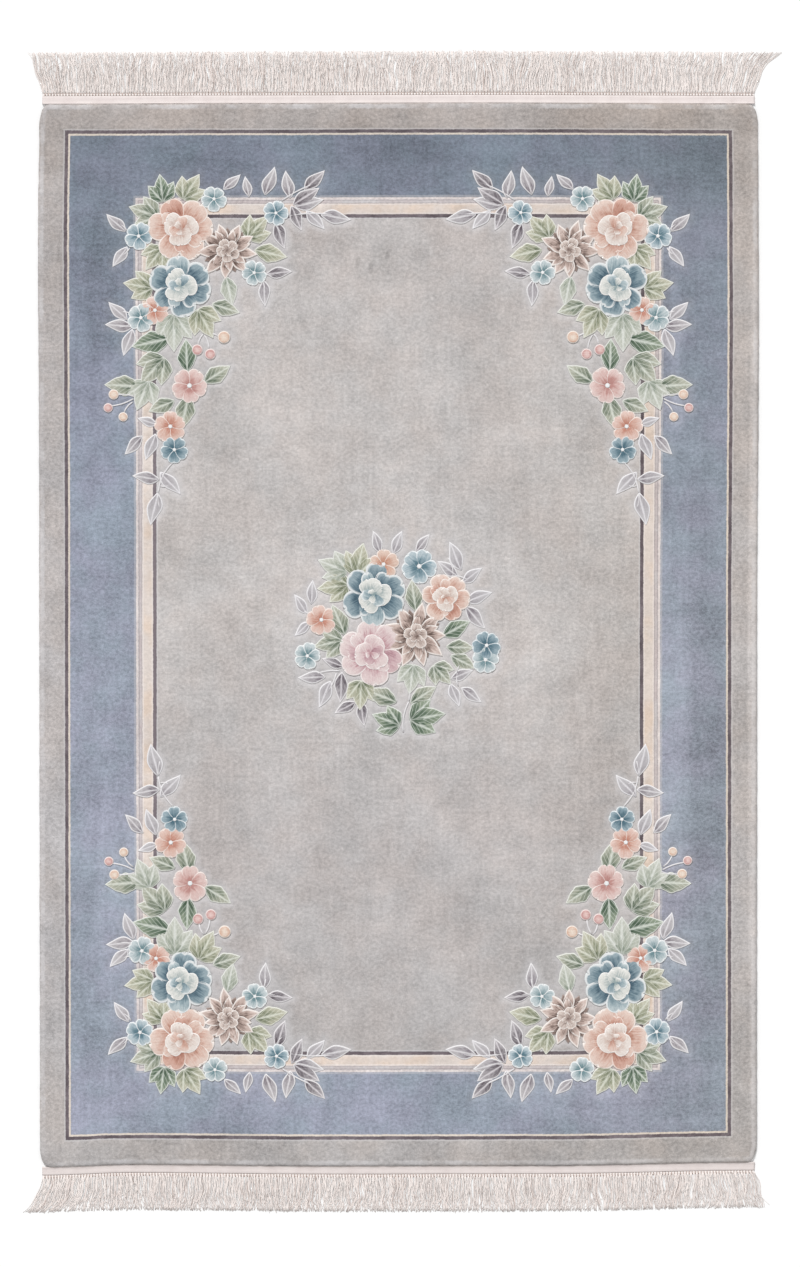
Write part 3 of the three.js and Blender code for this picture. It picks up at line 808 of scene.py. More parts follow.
def covered(points, outlines):
    """Which points lie under a carved form."""
    order = np.argsort(points[:, 0])
    ordered = points[order, 0]
    is_covered = np.zeros(len(points), bool)
    for outline in outlines:
        low, high = outline.min(0), outline.max(0)
        some = order[np.searchsorted(ordered, low[0]) : np.searchsorted(ordered, high[0])]
        some = some[(points[some, 1] > low[1]) & (points[some, 1] < high[1]) & ~is_covered[some]]
        if len(some):
            is_covered[some] = inside(points[some], outline)
    return is_covered


def offset_outline(outline, reach):
    """Points a little outside an outline."""
    along = np.roll(outline, -1, 0) - np.roll(outline, 1, 0)
    length = np.linalg.norm(along, axis=1)
    is_kept = length > 0.4
    outward = np.stack([along[:, 1], -along[:, 0]], 1)[is_kept] / length[is_kept, None]
    x, y = outline.T
    turning = np.sum(x * np.roll(y, -1) - np.roll(x, -1) * y)
    return outline[is_kept] + outward * math.copysign(reach, turning)


def thinned(points, step):
    """Points with about one kept in each cell of a grid."""
    _, first = np.unique(np.round(points / step).astype(int), axis=0, return_index=True)
    return points[np.sort(first)]


def guard_points():
    """Points along and beside every carved line of the guards."""
    lines = []
    for guard, inset in guard_lines():
        for aside in (-GROOVE_REACH, 0, GROOVE_REACH):
            half = guard - inset + aside
            for axis in (0, 1):
                run = np.linspace(-half[axis], half[axis], int(2 * half[axis] / GRID_STEP))
                for side in (-1, 1):
                    line = np.empty((len(run), 2))
                    line[:, axis], line[:, 1 - axis] = run, side * half[1 - axis]
                    lines.append(line)
    return np.concatenate(lines)


def ground_points(edge, outlines):
    """Points of the pile's ground in the plan: guard lines, rings round the carved forms and a fill."""
    rings = [offset_outline(outline, reach) for outline in outlines for reach in (0.6, CARVE_REACH)]
    rings = thinned(np.concatenate(rings), 4.0)
    rings = rings[~covered(rings, outlines)]
    lines = guard_points()
    lines = thinned(lines[~covered(lines, outlines)], 1.5)
    lines = lines[nearest(lines, rings)[1] > 3.0]
    columns, rows = (np.arange(-half + 20, half - 15, GRID_STEP) for half in PILE_HALF)
    fill = np.stack(np.meshgrid(columns, rows), -1).reshape(-1, 2)
    fill = fill + rng.uniform(-0.2, 0.2, fill.shape) * GRID_STEP
    fill = fill[nearest(fill, np.concatenate([edge, lines, rings]))[1] > 6.0]
    return np.concatenate([lines, rings, fill])


def groove(x, y):
    """The depth of the carved lines along the guards."""
    depth = np.zeros_like(x)
    for guard, inset in guard_lines():
        off = np.maximum(np.abs(x) - guard[0], np.abs(y) - guard[1]) + inset
        depth = np.maximum(depth, GROOVE_DEPTH * (1 - np.abs(off) / GROOVE_REACH))
    return depth


def drawn(x, y, outline_half):
    """Sides drawn in a little near the rug's corners."""
    draw = CORNER_DRAW * (1 - eased((PILE_HALF[1] - np.abs(y)) / CORNER_DRAW_LENGTH))
    share = np.clip(1 - (outline_half - np.abs(x)) / 200, 0, 1)
    lx, ly = laid(x, y)
    return lx - np.sign(x) * draw * share, ly


def flat(points):
    return np.concatenate([points, np.zeros((len(points), 1))], 1)


def build_pile(outlines, material):
    """The pile: a carved top, a rounded rim and a flat underside."""
    edge, outward = rounded_rectangle(PILE_HALF - RIM_INSET, CORNER_RADIUS, EDGE_STEP)
    count = len(edge)
    ring = [(number, (number + 1) % count) for number in range(count)]
    plan = np.concatenate([edge, ground_points(edge, outlines)])
    result = delaunay_2d_cdt([Vector(point) for point in plan], ring, [], 1, 1e-4)
    plan = np.array([tuple(point) for point in result[0]])
    away = nearest(plan, np.concatenate(outlines))[1]
    away[covered(plan, outlines)] = 0
    x, y = plan.T
    height = PILE_HEIGHT + swell(x, y) - groove(x, y) - CARVE_DEPTH * (1 - eased(away / CARVE_REACH))
    points = [np.stack([*drawn(x, y, PILE_HALF[0]), height], 1)]
    plans, halos = [flat(plan)], [np.exp(-((away / HALO_REACH) ** 2))]
    upper = nearest(edge, plan)[0]
    faces = [np.array(result[2])]
    for row in reversed(RIM_SECTION):
        is_tufted = row["height"] > 5
        inset = row["inset"] + is_tufted * rng.uniform(-0.7, 0.7, count)
        x, y = (edge + outward * (RIM_INSET - inset)[:, None]).T
        height = row["height"] + is_tufted * rng.uniform(-0.5, 0.5, count)
        points.append(np.stack([*drawn(x, y, PILE_HALF[0]), height], 1))
        plans.append(flat(np.stack([x, y], 1)))
        halos.append(np.zeros(count))
        lower = np.arange(count) + sum(len(block) for block in points[:-1])
        faces.append(np.stack([upper, lower, np.roll(lower, -1), np.roll(upper, -1)], 1))
        upper = lower
    faces.append(upper[::-1][None])
    heap = Heap()
    heap.add(np.concatenate(points), faces, plan=np.concatenate(plans), halo=np.concatenate(halos))
    return heap.mesh("pile_ground", [material])


# The ends.


def end_line(end, x, past):
    """Where a line along one end lies, so far past the pile's edge."""
    return laid(x, np.full_like(x, end["facing"] * PILE_HALF[1]))[1] + end["facing"] * past


def build_web(end, material):
    """The flat-woven band past the pile: ribbed, and a little puckered where the pile meets it."""
    columns, rows = 362, 9
    x = np.linspace(-WEB_HALF_WIDTH, WEB_HALF_WIDTH, columns)
    share = np.linspace(0, 1, rows)
    rise = np.interp(share, [0, 0.25, 0.5, 0.85, 1], [5.6, 3.6, 2.9, 2.7, 1.4])
    layers = []
    for is_top in (True, False):
        for part, crown in zip(share, rise):
            y = end_line(end, x, GAP + WEB_DEPTH * part)
            rib = 0.16 * np.sin(part * 34 + x / 57) + 0.1 * np.sin(x / 2.1)
            rib = rib + 0.12 * np.sin(x / 37 + 3 * part)
            z = np.full(columns, crown) + rib if is_top else np.zeros(columns)
            layers.append(np.stack([x, y, z], 1))
    top, bottom = np.concatenate(layers[:rows]), np.concatenate(layers[rows:])
    border = grid_border(rows, columns)
    after = np.roll(border, -1)
    side = np.stack([border, after, after + len(top), border + len(top)], 1)
    is_up = end["facing"] < 0
    faces = [grid_quads(rows, columns, not is_up), grid_quads(rows, columns, is_up) + len(top)]
    faces.append(side if is_up else side[:, ::-1])
    heap = Heap()
    heap.add(np.concatenate([top, bottom]), faces)
    return heap.mesh(f"web_{end['name']}", [material])


def lean(end, x):
    """How far a bundle leans at mid-length and at its tip: outwards near a corner, straight inside."""
    nearness = np.clip(1 - (WEB_HALF_WIDTH - np.abs(x)) / FLARE_REACH, 0, 1) ** 2 * np.sign(x)
    middle = np.where(x < 0, end["left_middle"], end["right_middle"]) * nearness
    tip = np.where(x < 0, end["left_tip"], end["right_tip"]) * nearness
    return middle, tip


def build_fringe(end, material):
    """The warp fringe: bundles of loose yarns, knotted close to the web and spread flat past it."""
    count = BUNDLES * YARNS
    pitch = 2 * WEB_HALF_WIDTH / BUNDLES
    root_x = (np.repeat(np.arange(BUNDLES), YARNS) + 0.5) * pitch - WEB_HALF_WIDTH
    place = np.tile((np.arange(YARNS) + 0.5) / YARNS - 0.5, BUNDLES)
    middle, tip = lean(end, root_x)
    swirl = 11 * np.sin(root_x / 83 + end["facing"]) * np.sin(root_x / 31)
    middle = middle + swirl * 0.3 + rng.normal(0, 3.4, count)
    tip = tip + swirl + rng.normal(0, 7.0, count)
    is_stray = rng.uniform(size=count) < STRAY_SHARE
    middle = middle + is_stray * rng.normal(0, 12, count)
    tip = tip + is_stray * rng.normal(0, 26, count)
    length = end["length"] + rng.normal(0, 1.6, count) - 6 * is_stray
    share = np.linspace(0, 1, YARN_STEPS + 1)[None, :]
    spread = 0.45 + 0.75 * eased(share * 3)
    x = root_x[:, None] + pitch * place[:, None] * spread
    x = x + middle[:, None] * 4 * share * (1 - share) + tip[:, None] * share * (2 * share - 1)
    wave = np.sin(share * rng.uniform(6, 14, count)[:, None] + rng.uniform(0, 6, count)[:, None])
    x = x + rng.normal(0, 2.4, count)[:, None] * wave * share
    curl = np.sin(share * 8 + root_x[:, None] / 29) * np.sin(root_x[:, None] / 137 + 2)
    x = x + 3.2 * curl * eased(share * 2)
    start = end_line(end, root_x, GAP + WEB_DEPTH + GAP + STRIP_DEPTH / 2)
    y = start[:, None] + end["facing"] * share * (length[:, None] - STRIP_DEPTH / 2)
    radius = YARN_RADIUS * (1 - 0.2 * share**3) * rng.uniform(0.8, 1.15, count)[:, None]
    lift = rng.uniform(0, 1.5, count)[:, None] * np.sin(share * math.pi) + 0.8 * (1 - share) ** 3
    centre = np.stack([x, y, radius * 0.4 + lift], -1)
    angles = np.radians([90, 210, 330])
    ring = np.stack([np.cos(angles), np.zeros(3), 0.6 * np.sin(angles) + 0.1], -1)
    points = centre[:, :, None, :] + radius[:, :, None, None] * ring[None, None]
    points[..., 2] = np.maximum(points[..., 2], 0.0)
    steps = YARN_STEPS + 1
    index = np.arange(count * steps * 3).reshape(count, steps, 3)
    after = np.roll(index, -1, 2)
    sides = np.stack([index[:, :-1], after[:, :-1], after[:, 1:], index[:, 1:]], -1).reshape(-1, 4)
    caps = np.concatenate([index[:, 0, ::-1], index[:, -1]])
    if end["facing"] > 0:
        sides, caps = sides[:, ::-1], caps[:, ::-1]
    along = np.repeat(np.repeat(share, count, 0)[:, :, None], 3, 2).ravel()
    shade = np.repeat(rng.uniform(size=count), steps * 3)
    heap = Heap()
    heap.add(points.reshape(-1, 3), [sides, caps], along=along, shade=shade)
    add_knots(heap, end)
    # A dark strip under the knots, as painted shadow between them.
    add_gap_shadow_strip(heap, end)
    return heap.mesh(f"yarn_{end['name']}", [material])


def add_knots(heap, end):
    """The row of tight knots that the fringe hangs from, side by side past the web."""
    pitch = 2 * WEB_HALF_WIDTH / BUNDLES
    x = (np.arange(BUNDLES) + 0.5) * pitch - WEB_HALF_WIDTH
    y = end_line(end, x, GAP + WEB_DEPTH + GAP + STRIP_DEPTH / 2)
    around = np.linspace(0, 2 * math.pi, KNOT_SIDES, endpoint=False)
    u, v = np.meshgrid(around, np.linspace(-1, 1, KNOT_ROWS), indexing="ij")
    girth = np.sqrt(1 - 0.8 * v**2)
    across = np.cos(u) * girth * pitch * 0.4
    height = 1.5 + np.sin(u) * girth * 1.4
    knot = np.stack([across, v * STRIP_DEPTH / 2, height], -1)
    size = rng.uniform(0.85, 1.08, BUNDLES)[:, None, None]
    points = np.stack([x, y, np.zeros(BUNDLES)], -1)[:, None, :] + knot.reshape(1, -1, 3) * size
    points[..., 2] = np.maximum(points[..., 2], 0)
    total = BUNDLES * KNOT_SIDES * KNOT_ROWS
    index = np.arange(total).reshape(BUNDLES, KNOT_SIDES, KNOT_ROWS)
    after = np.roll(index, -1, 1)
    sides = np.stack([index[..., :-1], after[..., :-1], after[..., 1:], index[..., 1:]], -1).reshape(-1, 4)
    caps = np.concatenate([index[:, ::-1, 0], index[:, :, -1]])
    shade = np.repeat(rng.uniform(0, 0.6, BUNDLES), KNOT_SIDES * KNOT_ROWS)
    heap.add(points.reshape(-1, 3), [sides[:, ::-1], caps], along=np.full(total, 0.2), shade=shade)


def add_gap_shadow_strip(heap, end):
    """A dark strip under the knots: painted shadow, which shows between them as short dark ticks."""
    columns = 121
    x = np.linspace(-WEB_HALF_WIDTH + 1, WEB_HALF_WIDTH - 1, columns)
    sections = ((0.4, 0.1), (0.4, 0.5), (STRIP_DEPTH + 3.0, 0.5), (STRIP_DEPTH + 3.0, 0.1))
    layers = []
    for past, z in sections:
        y = end_line(end, x, GAP + WEB_DEPTH + GAP + past)
        layers.append(np.stack([x, y, np.full(columns, z)], 1))
    index = np.arange(4 * columns).reshape(4, columns)
    after = np.roll(index, -1, 0)
    sides = np.stack([index[:, :-1], after[:, :-1], after[:, 1:], index[:, 1:]], -1).reshape(-1, 4)
    caps = np.array([index[::-1, 0], index[:, -1]])
    if end["facing"] > 0:
        sides, caps = sides[:, ::-1], caps[:, ::-1]
    # shade 1 gives the strip the yarn's darkest colour, as painted shadow between the knots.
    heap.add(np.concatenate(layers), [sides, caps], along=np.zeros(4 * columns), shade=np.ones(4 * columns))


# Materials.

# The light makes surfaces look a little brighter than their dye.
LIGHT_GAIN = 1.07


def dye(colour):
    """A colour in 0 to 255, as it looks, as a reflectance."""
    values = np.array(DYES[colour] if isinstance(colour, str) else colour) / 255
    linear = np.where(values <= 0.04, values / 12.92, ((values + 0.055) / 1.055) ** 2.4)
    return (*np.minimum(linear / LIGHT_GAIN, 0.95), 1.0)


class Finish:
    """A material, with short ways to add its nodes."""

    def __init__(self, name, roughness, sheen, specular=0.2):
        self.material = bpy.data.materials.new(name)
        self.material.use_nodes = True
        self.tree = self.material.node_tree
        self.shader = self.tree.nodes["Principled BSDF"]
        self.shader.inputs["Roughness"].default_value = roughness
        self.shader.inputs["Specular IOR Level"].default_value = specular
        self.shader.inputs["Sheen Weight"].default_value = sheen
        self.shader.inputs["Sheen Roughness"].default_value = 0.45

    def node(self, kind, inputs, output=0, **settings):
        """Adds a node with its settings and its inputs' values or links, and gives one output."""
        node = self.tree.nodes.new("ShaderNode" + kind)
        for name, value in settings.items():
            setattr(node, name, value)
        for key, value in inputs.items():
            if isinstance(value, bpy.types.NodeSocket):
                self.tree.links.new(value, node.inputs[key])
            else:
                node.inputs[key].default_value = value
        return node.outputs[output]

    def attribute(self, name, output="Vector"):
        return self.node("Attribute", {}, output, attribute_name=name)

    def math(self, operation, first, second=0.0, third=0.0):
        return self.node("Math", {0: first, 1: second, 2: third}, operation=operation)

    def vector(self, operation, first, second=(0.0, 0.0, 0.0)):
        return self.node("VectorMath", {0: first, 1: second}, operation=operation)

    def stretched(self, place, scale):
        return self.vector("MULTIPLY", place, scale)

    def scaled(self, colour, factor):
        return self.node("VectorMath", {0: colour, 3: factor}, operation="SCALE")

    def split(self, vector):
        return tuple(self.node("SeparateXYZ", {0: vector}).node.outputs)

    def noise(self, place, scale, detail=2.0, roughness=0.5):
        inputs = {"Vector": place, "Scale": scale, "Detail": detail, "Roughness": roughness}
        return self.node("TexNoise", inputs)

    def mapped(self, value, low, high, to_low=0.0, to_high=1.0, is_eased=True):
        inputs = {0: value, 1: low, 2: high, 3: to_low, 4: to_high}
        return self.node("MapRange", inputs, interpolation_type="SMOOTHSTEP" if is_eased else "LINEAR")

    def band(self, distance, low, high, soft):
        """1 between two distances and 0 outside them."""
        entered = self.mapped(distance, low - soft / 2, low + soft / 2)
        left = self.mapped(distance, high - soft / 2, high + soft / 2)
        return self.math("SUBTRACT", entered, left)

    def mix(self, first, second, share):
        return self.node("Mix", {0: share, 6: first, 7: second}, 2, data_type="RGBA")

    def ramp(self, share, *stops):
        node = self.tree.nodes.new("ShaderNodeValToRGB")
        self.tree.links.new(share, node.inputs[0])
        elements = node.color_ramp.elements
        elements.remove(elements[1])
        elements[0].position, elements[0].color = stops[0]
        for position, colour in stops[1:]:
            elements.new(position).color = colour
        return node.outputs[0]

    def bump(self, height, distance, strength=1.0, normal=None):
        inputs = {"Height": height, "Distance": distance, "Strength": strength}
        if normal:
            inputs["Normal"] = normal
        return self.node("Bump", inputs)

    def finish(self, colour, normal=None):
        self.tree.links.new(colour, self.shader.inputs["Base Color"])
        if normal:
            self.tree.links.new(normal, self.shader.inputs["Normal"])
        return self.material


# The nap's unevenness, painted sheen where the pile lies in different directions, with its fine grain: how
# many features a millimetre across and along the rug, and how strong.
NAP = table(
    "across along detail strength",
    (0.004, 0.0045, 4.0, 0.13),
    (0.02, 0.022, 4.0, 0.075),
    (0.004, 0.06, 2.0, 0.025),
    (0.05, 0.004, 2.0, 0.04),
    (0.11, 0.13, 3.0, 0.17),
    (0.36, 0.36, 1.0, 0.1),
)
# How strong that unevenness is on each ground, and the two tints its silk drifts between.
DRIFTS = {
    "field": (1.0, (1.02, 0.997, 0.985), (0.985, 1.0, 1.01)),
    "grey": (1.25, (1.02, 0.995, 0.975), (0.985, 1.0, 1.015)),
    "blue": (1.35, (1.03, 0.99, 1.01), (0.955, 1.01, 0.985)),
}


# Hairlines that part the guards' stripes, by their distance outwards from the guard's edge. The two pale
# edge lines just outside the guards are painted highlight beside the carved lines.
HAIRLINES = table(
    "guard low high dye strength",
    ("outer", 0.5, 4.0, "edge", 0.5),
    ("inner", 1.0, 5.0, "edge", 0.35),
    ("inner", -8.6, -6.4, "dark_faded", 0.42),
    ("inner", -16.2, -14.4, "dark_faded", 0.42),
    ("inner", -19.5, -16.0, "cream", 0.6),
    ("inner", -43.0, -39.5, "cream", 0.5),
    ("inner", -55.4, -52.6, "between", 0.5),
)


def pressed(finish, plan, row):
    """How strongly one stroke shades a place."""
    inputs = {"Vector": plan, "Location": (row["x"], row["y"], 0.0)}
    inputs["Rotation"] = (0.0, 0.0, math.radians(row["turn"]))
    inputs["Scale"] = (row["length"] / 2, row["width"] / 2, 1.0)
    away = finish.node("Mapping", inputs, vector_type="TEXTURE")
    away = finish.node("VectorMath", {0: away}, 1, operation="LENGTH")
    return finish.mapped(away, 0.45, 1.15, row["depth"], 0.0)


def outwards(finish, plan, half, wobble=0.0):
    """The distance outwards from a rectangle's edge."""
    off = finish.vector("SUBTRACT", finish.vector("ABSOLUTE", plan), (*half, 0.0))
    x, y, _ = finish.split(off)
    return finish.math("ADD", finish.math("MAXIMUM", x, y), wobble)


def knotted_pile():
    """The rug's ground: field, guards and borders, with the silk's shaded patches and fine grain."""
    finish = Finish("silk_pile_ground", 0.62, 0.2)
    plan = finish.attribute("plan")
    halo = finish.attribute("halo", "Fac")
    x, y, _ = finish.split(plan)

    # nap sums the ground's painted sheen: a little darker towards the right, the NAP patches, fine flecks
    # of grain and the brushed strokes' painted shade.
    nap = finish.math("MULTIPLY", finish.mapped(x, 0.0, 620.0), -0.035)
    for number, row in enumerate(NAP):
        place = finish.vector("ADD", plan, (1310.0 * number, 870.0 * number, 0.0))
        place = finish.stretched(place, (row["across"], row["along"], 1.0))
        noise = finish.noise(place, 1.0, row["detail"], 0.6)
        nap = finish.math("ADD", nap, finish.mapped(noise, 0.2, 0.8, -row["strength"], row["strength"]))
    flecks = finish.mapped(finish.noise(plan, 0.1, 2.0, 0.6), 0.6, 0.75, 0.0, 0.14)
    nap = finish.math("ADD", nap, finish.math("SUBTRACT", flecks, 0.01))
    # The brushed strokes' painted shade and sheen.
    for row in DABS:
        nap = finish.math("SUBTRACT", nap, finish.math("MULTIPLY", pressed(finish, plan, row), 0.24))

    drift = finish.mapped(finish.noise(plan, 0.0055, 4.0, 0.6), 0.35, 0.65)
    grounds = {}
    # Each ground's colour along the rug, with its painted sheen, drifting between two tints and scaled by
    # the nap's painted sheen and grain.
    for name, (strength, warm, cool) in DRIFTS.items():
        stops = [(row["at"], dye(row["dye"])) for row in GROUNDS[name]]
        plain = finish.ramp(finish.mapped(y, -PILE_HALF[1], PILE_HALF[1], is_eased=False), *stops)
        cooled, warmed = (finish.vector("MULTIPLY", plain, tint) for tint in (cool, warm))
        tinted = finish.mix(cooled, warmed, drift)
        grounds[name] = finish.scaled(tinted, finish.math("MULTIPLY_ADD", nap, strength, 1.0))

    # Distances outwards from each guard's edge, with the knots' wobble.
    wobble = finish.math("ADD", finish.noise(plan, 0.03, 1.0), finish.noise(plan, 0.3, 1.0))
    wobble = finish.math("MULTIPLY", finish.math("SUBTRACT", wobble, 1.0), 2.6)
    outer = outwards(finish, plan, OUTER_GUARD, wobble)
    inner = outwards(finish, plan, INNER_GUARD, wobble)
    inner_width = sum(INNER_STRIPES.values())
    blue = finish.mix(grounds["blue"], dye("between"), finish.math("MULTIPLY", halo, 0.1))
    field = finish.mix(grounds["field"], dye("between"), finish.math("MULTIPLY", halo, 0.5))
    colour = finish.mix(blue, grounds["grey"], finish.mapped(outer, -0.8, 0.8))
    colour = finish.mix(field, colour, finish.mapped(inner, -inner_width - 0.8, -inner_width + 0.8))
    fade = finish.noise(plan, 0.012, 3.0)
    worn = finish.noise(plan, 0.02, 4.0, 0.7)
    stripes = {
        "dark": finish.ramp(worn, (0.4, dye("dark")), (0.68, dye("dark_faded"))),
        "cream": finish.ramp(worn, (0.3, dye("cream")), (0.8, dye("taupe"))),
        "warm_cream": finish.ramp(worn, (0.3, dye("warm_cream")), (0.8, dye("cream_worn"))),
        "taupe": finish.ramp(fade, (0.4, dye("taupe")), (0.7, dye("edge"))),
        "peach": finish.ramp(fade, (0.42, dye("peach")), (0.6, dye("peach_warm"))),
    }
    # grain carries the nap's painted sheen as well as its grain.
    grain = finish.math("MULTIPLY_ADD", nap, 0.5, 1.0)
    for distance, rows in ((outer, OUTER_STRIPES), (inner, INNER_STRIPES)):
        inset = 0.0
        for name, width in rows.items():
            shown = width * 0.72 if name == "warm_cream" else width
            mask = finish.band(distance, -inset - shown, -inset, 1.6)
            colour = finish.mix(colour, finish.scaled(stripes[name], grain), mask)
            inset += width
    for row in HAIRLINES:
        line = finish.band(outer if row["guard"] == "outer" else inner, row["low"], row["high"], 1.4)
        colour = finish.mix(colour, dye(row["dye"]), finish.math("MULTIPLY", line, row["strength"]))
    left_line = finish.band(inner, -inner_width, INNER_STRIPES["dark"] - inner_width, 1.6)
    left_line = finish.math("MULTIPLY", left_line, finish.mapped(x, -600.0, -560.0, 0.75, 0.0))
    colour = finish.mix(colour, dye("dark_faded"), left_line)
    # A paler band along the pile's rounded edge, broken up by noise: painted highlight where the rolled
    # pile catches the light.
    to_edge = outwards(finish, plan, PILE_HALF)
    frayed = finish.math("ADD", to_edge, finish.math("MULTIPLY", finish.noise(plan, 0.11, 3.0, 0.7), 12.0))
    patchy = finish.mapped(finish.noise(plan, 0.014, 3.0), 0.38, 0.62, 0.15, 0.75)
    rolled_highlight = finish.math("MULTIPLY", finish.band(frayed, -8.0, 3.5, 6.0), patchy)
    colour = finish.mix(colour, finish.scaled(dye("edge")[:3], grain), rolled_highlight)
    warm_side = finish.vector("MULTIPLY", colour, (1.0, 0.982, 0.955))
    colour = finish.mix(colour, warm_side, finish.mapped(x, 150.0, 800.0))
    tufts = finish.noise(plan, 0.5, 2.0, 0.7)
    waves = finish.noise(plan, 0.09, 3.0, 0.6)
    normal = finish.bump(waves, 2.0 * MM, 0.45, finish.bump(tufts, 0.8 * MM, 0.6))
    return finish.finish(colour, normal)


# Silks with side veins, and how clearly those show.
SIDE_VEINS = {"leaf": 0.6, "olive": 0.6, "deep_leaf": 0.6, "pale_leaf": 0.55, "mauve": 0.2, "smoke": 0.25}
VEIN_SPACING = 15.0


def side_veins(finish, thread):
    """Thin lines that fork from a leaf's spine towards its tip."""
    across, along, _ = finish.split(thread)
    step = finish.math("MULTIPLY_ADD", finish.math("ABSOLUTE", across), -1.5, along)
    turn = finish.math("FRACT", finish.math("DIVIDE", step, VEIN_SPACING))
    return finish.mapped(finish.math("ABSOLUTE", finish.math("SUBTRACT", turn, 0.5)), 0.4, 0.47)


def dyed_silk(row):
    """One carved silk: shaded from base to tip in fine streaks, with veins and a pale rim that is partly
    painted highlight on the carved edge.
    """
    finish = Finish(f"silk_{row['silk']}", 0.6, 0.15)
    along, depth, crease = finish.split(finish.attribute("tone"))
    thread = finish.attribute("thread")
    streaks = finish.noise(finish.stretched(thread, (0.42, 0.035, 1.0)), 1.0, 3.0, 0.65)
    blotch = finish.noise(thread, 0.07, 2.0)
    grain = finish.noise(thread, 0.3, 2.0, 0.7)
    share = finish.math("ADD", along, finish.mapped(streaks, 0.2, 0.8, -0.24, 0.24))
    share = finish.math("ADD", share, finish.mapped(blotch, 0.2, 0.8, -0.16, 0.16))
    stops = ((0.14, dye(row["base"])), (0.46, dye(row["middle"])), (0.82, dye(row["tip"])))
    colour = finish.ramp(share, *stops)
    colour = finish.mix(colour, dye(row["vein"]), finish.math("MULTIPLY", crease, 0.85))
    if row["silk"] in SIDE_VEINS:
        veins = finish.math("MULTIPLY", side_veins(finish, thread), SIDE_VEINS[row["silk"]])
        colour = finish.mix(colour, dye(row["vein"]), veins)
    # The pale rim: partly the outline's own silk, partly painted highlight where the carved bevel catches
    # the light.
    uneven = finish.math("ADD", depth, finish.mapped(grain, 0.2, 0.8, -0.7, 0.7))
    rim = finish.mapped(uneven, row["rim_width"] * 0.6, row["rim_width"] * 1.3, 0.92, 0.0)
    colour = finish.mix(colour, dye(row["rim"]), rim)
    colour = finish.scaled(colour, finish.mapped(grain, 0.2, 0.8, 0.9, 1.1))
    place = finish.node("TexCoord", {}, "Object")
    tufts = finish.noise(place, 500.0, 2.0, 0.7)
    normal = finish.bump(streaks, 0.6 * MM, 0.5, finish.bump(tufts, 0.7 * MM, 0.5))
    return finish.finish(colour, normal)


def flat_weave():
    """The end bands: fine cream ribs."""
    finish = Finish("cream_weave", 0.8, 0.1)
    place = finish.node("TexCoord", {}, "Object")
    rib_inputs = {"Vector": place, "Scale": 150.0, "Distortion": 1.2}
    pick_inputs = {"Vector": place, "Scale": 210.0, "Distortion": 1.0}
    ribs = finish.node("TexWave", rib_inputs, 1, bands_direction="X")
    picks = finish.node("TexWave", pick_inputs, 1, bands_direction="Y")
    weave = finish.math("MULTIPLY", ribs, picks)
    cloud = finish.noise(place, 30.0, 3.0, 0.6)
    share = finish.math("MULTIPLY_ADD", weave, 0.35, finish.math("MULTIPLY", cloud, 0.75))
    colour = finish.ramp(share, (0.2, dye("web_dark")), (0.55, dye("web")))
    return finish.finish(colour, finish.bump(weave, 0.4 * MM, 0.6))


def loose_yarn():
    """The fringe's cream yarn: darker at its root, and uneven from yarn to yarn."""
    finish = Finish("cream_yarn", 0.8, 0.1)
    place = finish.node("TexCoord", {}, "Object")
    along = finish.attribute("along", "Fac")
    shade = finish.attribute("shade", "Fac")
    root = finish.mapped(along, 0.0, 0.1, 0.14, 0.0)
    # shade differs at random from yarn to yarn; the strip under the knots has it at 1, as painted shadow.
    uneven = finish.math("MULTIPLY", finish.math("POWER", shade, 5.0), 0.7)
    ply = finish.noise(finish.stretched(place, (900.0, 160.0, 900.0)), 1.0, 2.0)
    share = finish.math("MULTIPLY_ADD", ply, 0.2, finish.math("ADD", root, uneven))
    colour = finish.ramp(share, (0.15, dye("yarn")), (0.95, dye("yarn_dark")))
    return finish.finish(colour, finish.bump(ply, 0.3 * MM, 0.5))


# The stage.


def build_floor():
    size = 40.0
    data = bpy.data.meshes.new("floor")
    corners = [(-size, -size, 0), (size, -size, 0), (size, size, 0), (-size, size, 0)]
    data.from_pydata(corners, [], [(0, 1, 2, 3)])
    floor = bpy.data.objects.new("floor", data)
    floor.location.z = -0.0005
    bpy.context.scene.collection.objects.link(floor)
    finish = Finish("pale_floor", 0.9, 0.0)
    finish.shader.inputs["Base Color"].default_value = (0.93, 0.93, 0.93, 1)
    data.materials.append(finish.material)


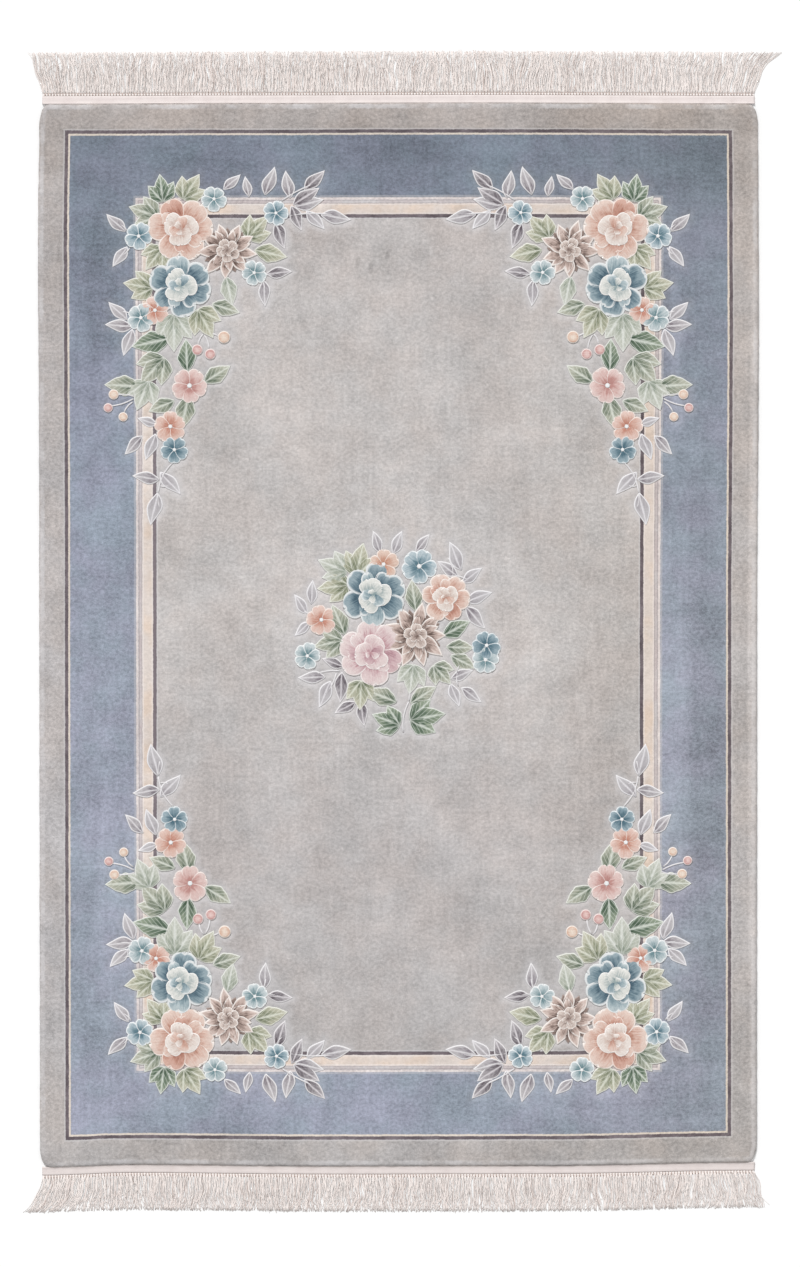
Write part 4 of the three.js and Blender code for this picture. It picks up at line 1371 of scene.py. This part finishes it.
def build_light():
    """A bright even room, with soft light from past the head end's left corner."""
    scene = bpy.context.scene
    scene.view_settings.view_transform = "Standard"
    world = bpy.data.worlds.new("room")
    world.use_nodes = True
    world.node_tree.nodes["Background"].inputs["Color"].default_value = (1.0, 1.0, 1.0, 1)
    world.node_tree.nodes["Background"].inputs["Strength"].default_value = 0.62
    scene.world = world
    lamp = bpy.data.lights.new("window", "SUN")
    lamp.energy = 2.2
    lamp.angle = math.radians(12)
    sun = bpy.data.objects.new("window", lamp)
    sun.rotation_euler = (math.radians(-43), math.radians(-18), 0)
    scene.collection.objects.link(sun)


def build_camera():
    """Straight above, at the photograph's framing."""
    frame_height = PHOTO_SIZE[1] * MM_PER_PIXEL * MM
    x = (PHOTO_SIZE[0] / 2 - PHOTO_PILE_MIDDLE[0]) * MM_PER_PIXEL * MM
    y = (PHOTO_PILE_MIDDLE[1] - PHOTO_SIZE[1] / 2) * MM_PER_PIXEL * MM
    data = bpy.data.cameras.new("camera")
    data.lens, data.sensor_width = LENS, SENSOR
    camera = bpy.data.objects.new("camera", data)
    camera.location = (x, y, frame_height * LENS / SENSOR + PILE_HEIGHT * MM)
    bpy.context.scene.collection.objects.link(camera)
    bpy.context.scene.camera = camera


build_camera()
build_light()
build_floor()

silks = [dyed_silk(row) for row in SILKS]
carvings = {"bouquet": carve(Spot((0, 0), [[1, 0], [0, 1]]), BOUQUET)}
for end_name, side_y in (("head", 1), ("foot", -1)):
    for side_name, side_x in (("left", -1), ("right", 1)):
        carvings[f"spray_{end_name}_{side_name}"] = carve(corner_spot(side_x, side_y), SPRAY)

outlines = [outline for carving in carvings.values() for outline in carving.outlines]
pile = build_pile(outlines, knotted_pile())
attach(pile, "root")
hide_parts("pile")

for name, carving in carvings.items():
    piece = carving.mesh(name, silks)
    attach(piece, "root")

weave, yarn = flat_weave(), loose_yarn()
for end in ENDS:
    web = build_web(end, weave)
    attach(web, "root")
    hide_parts(f"end_web_{end['name']}")
    fringe = build_fringe(end, yarn)
    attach(fringe, "root")
    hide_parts(f"fringe_{end['name']}")
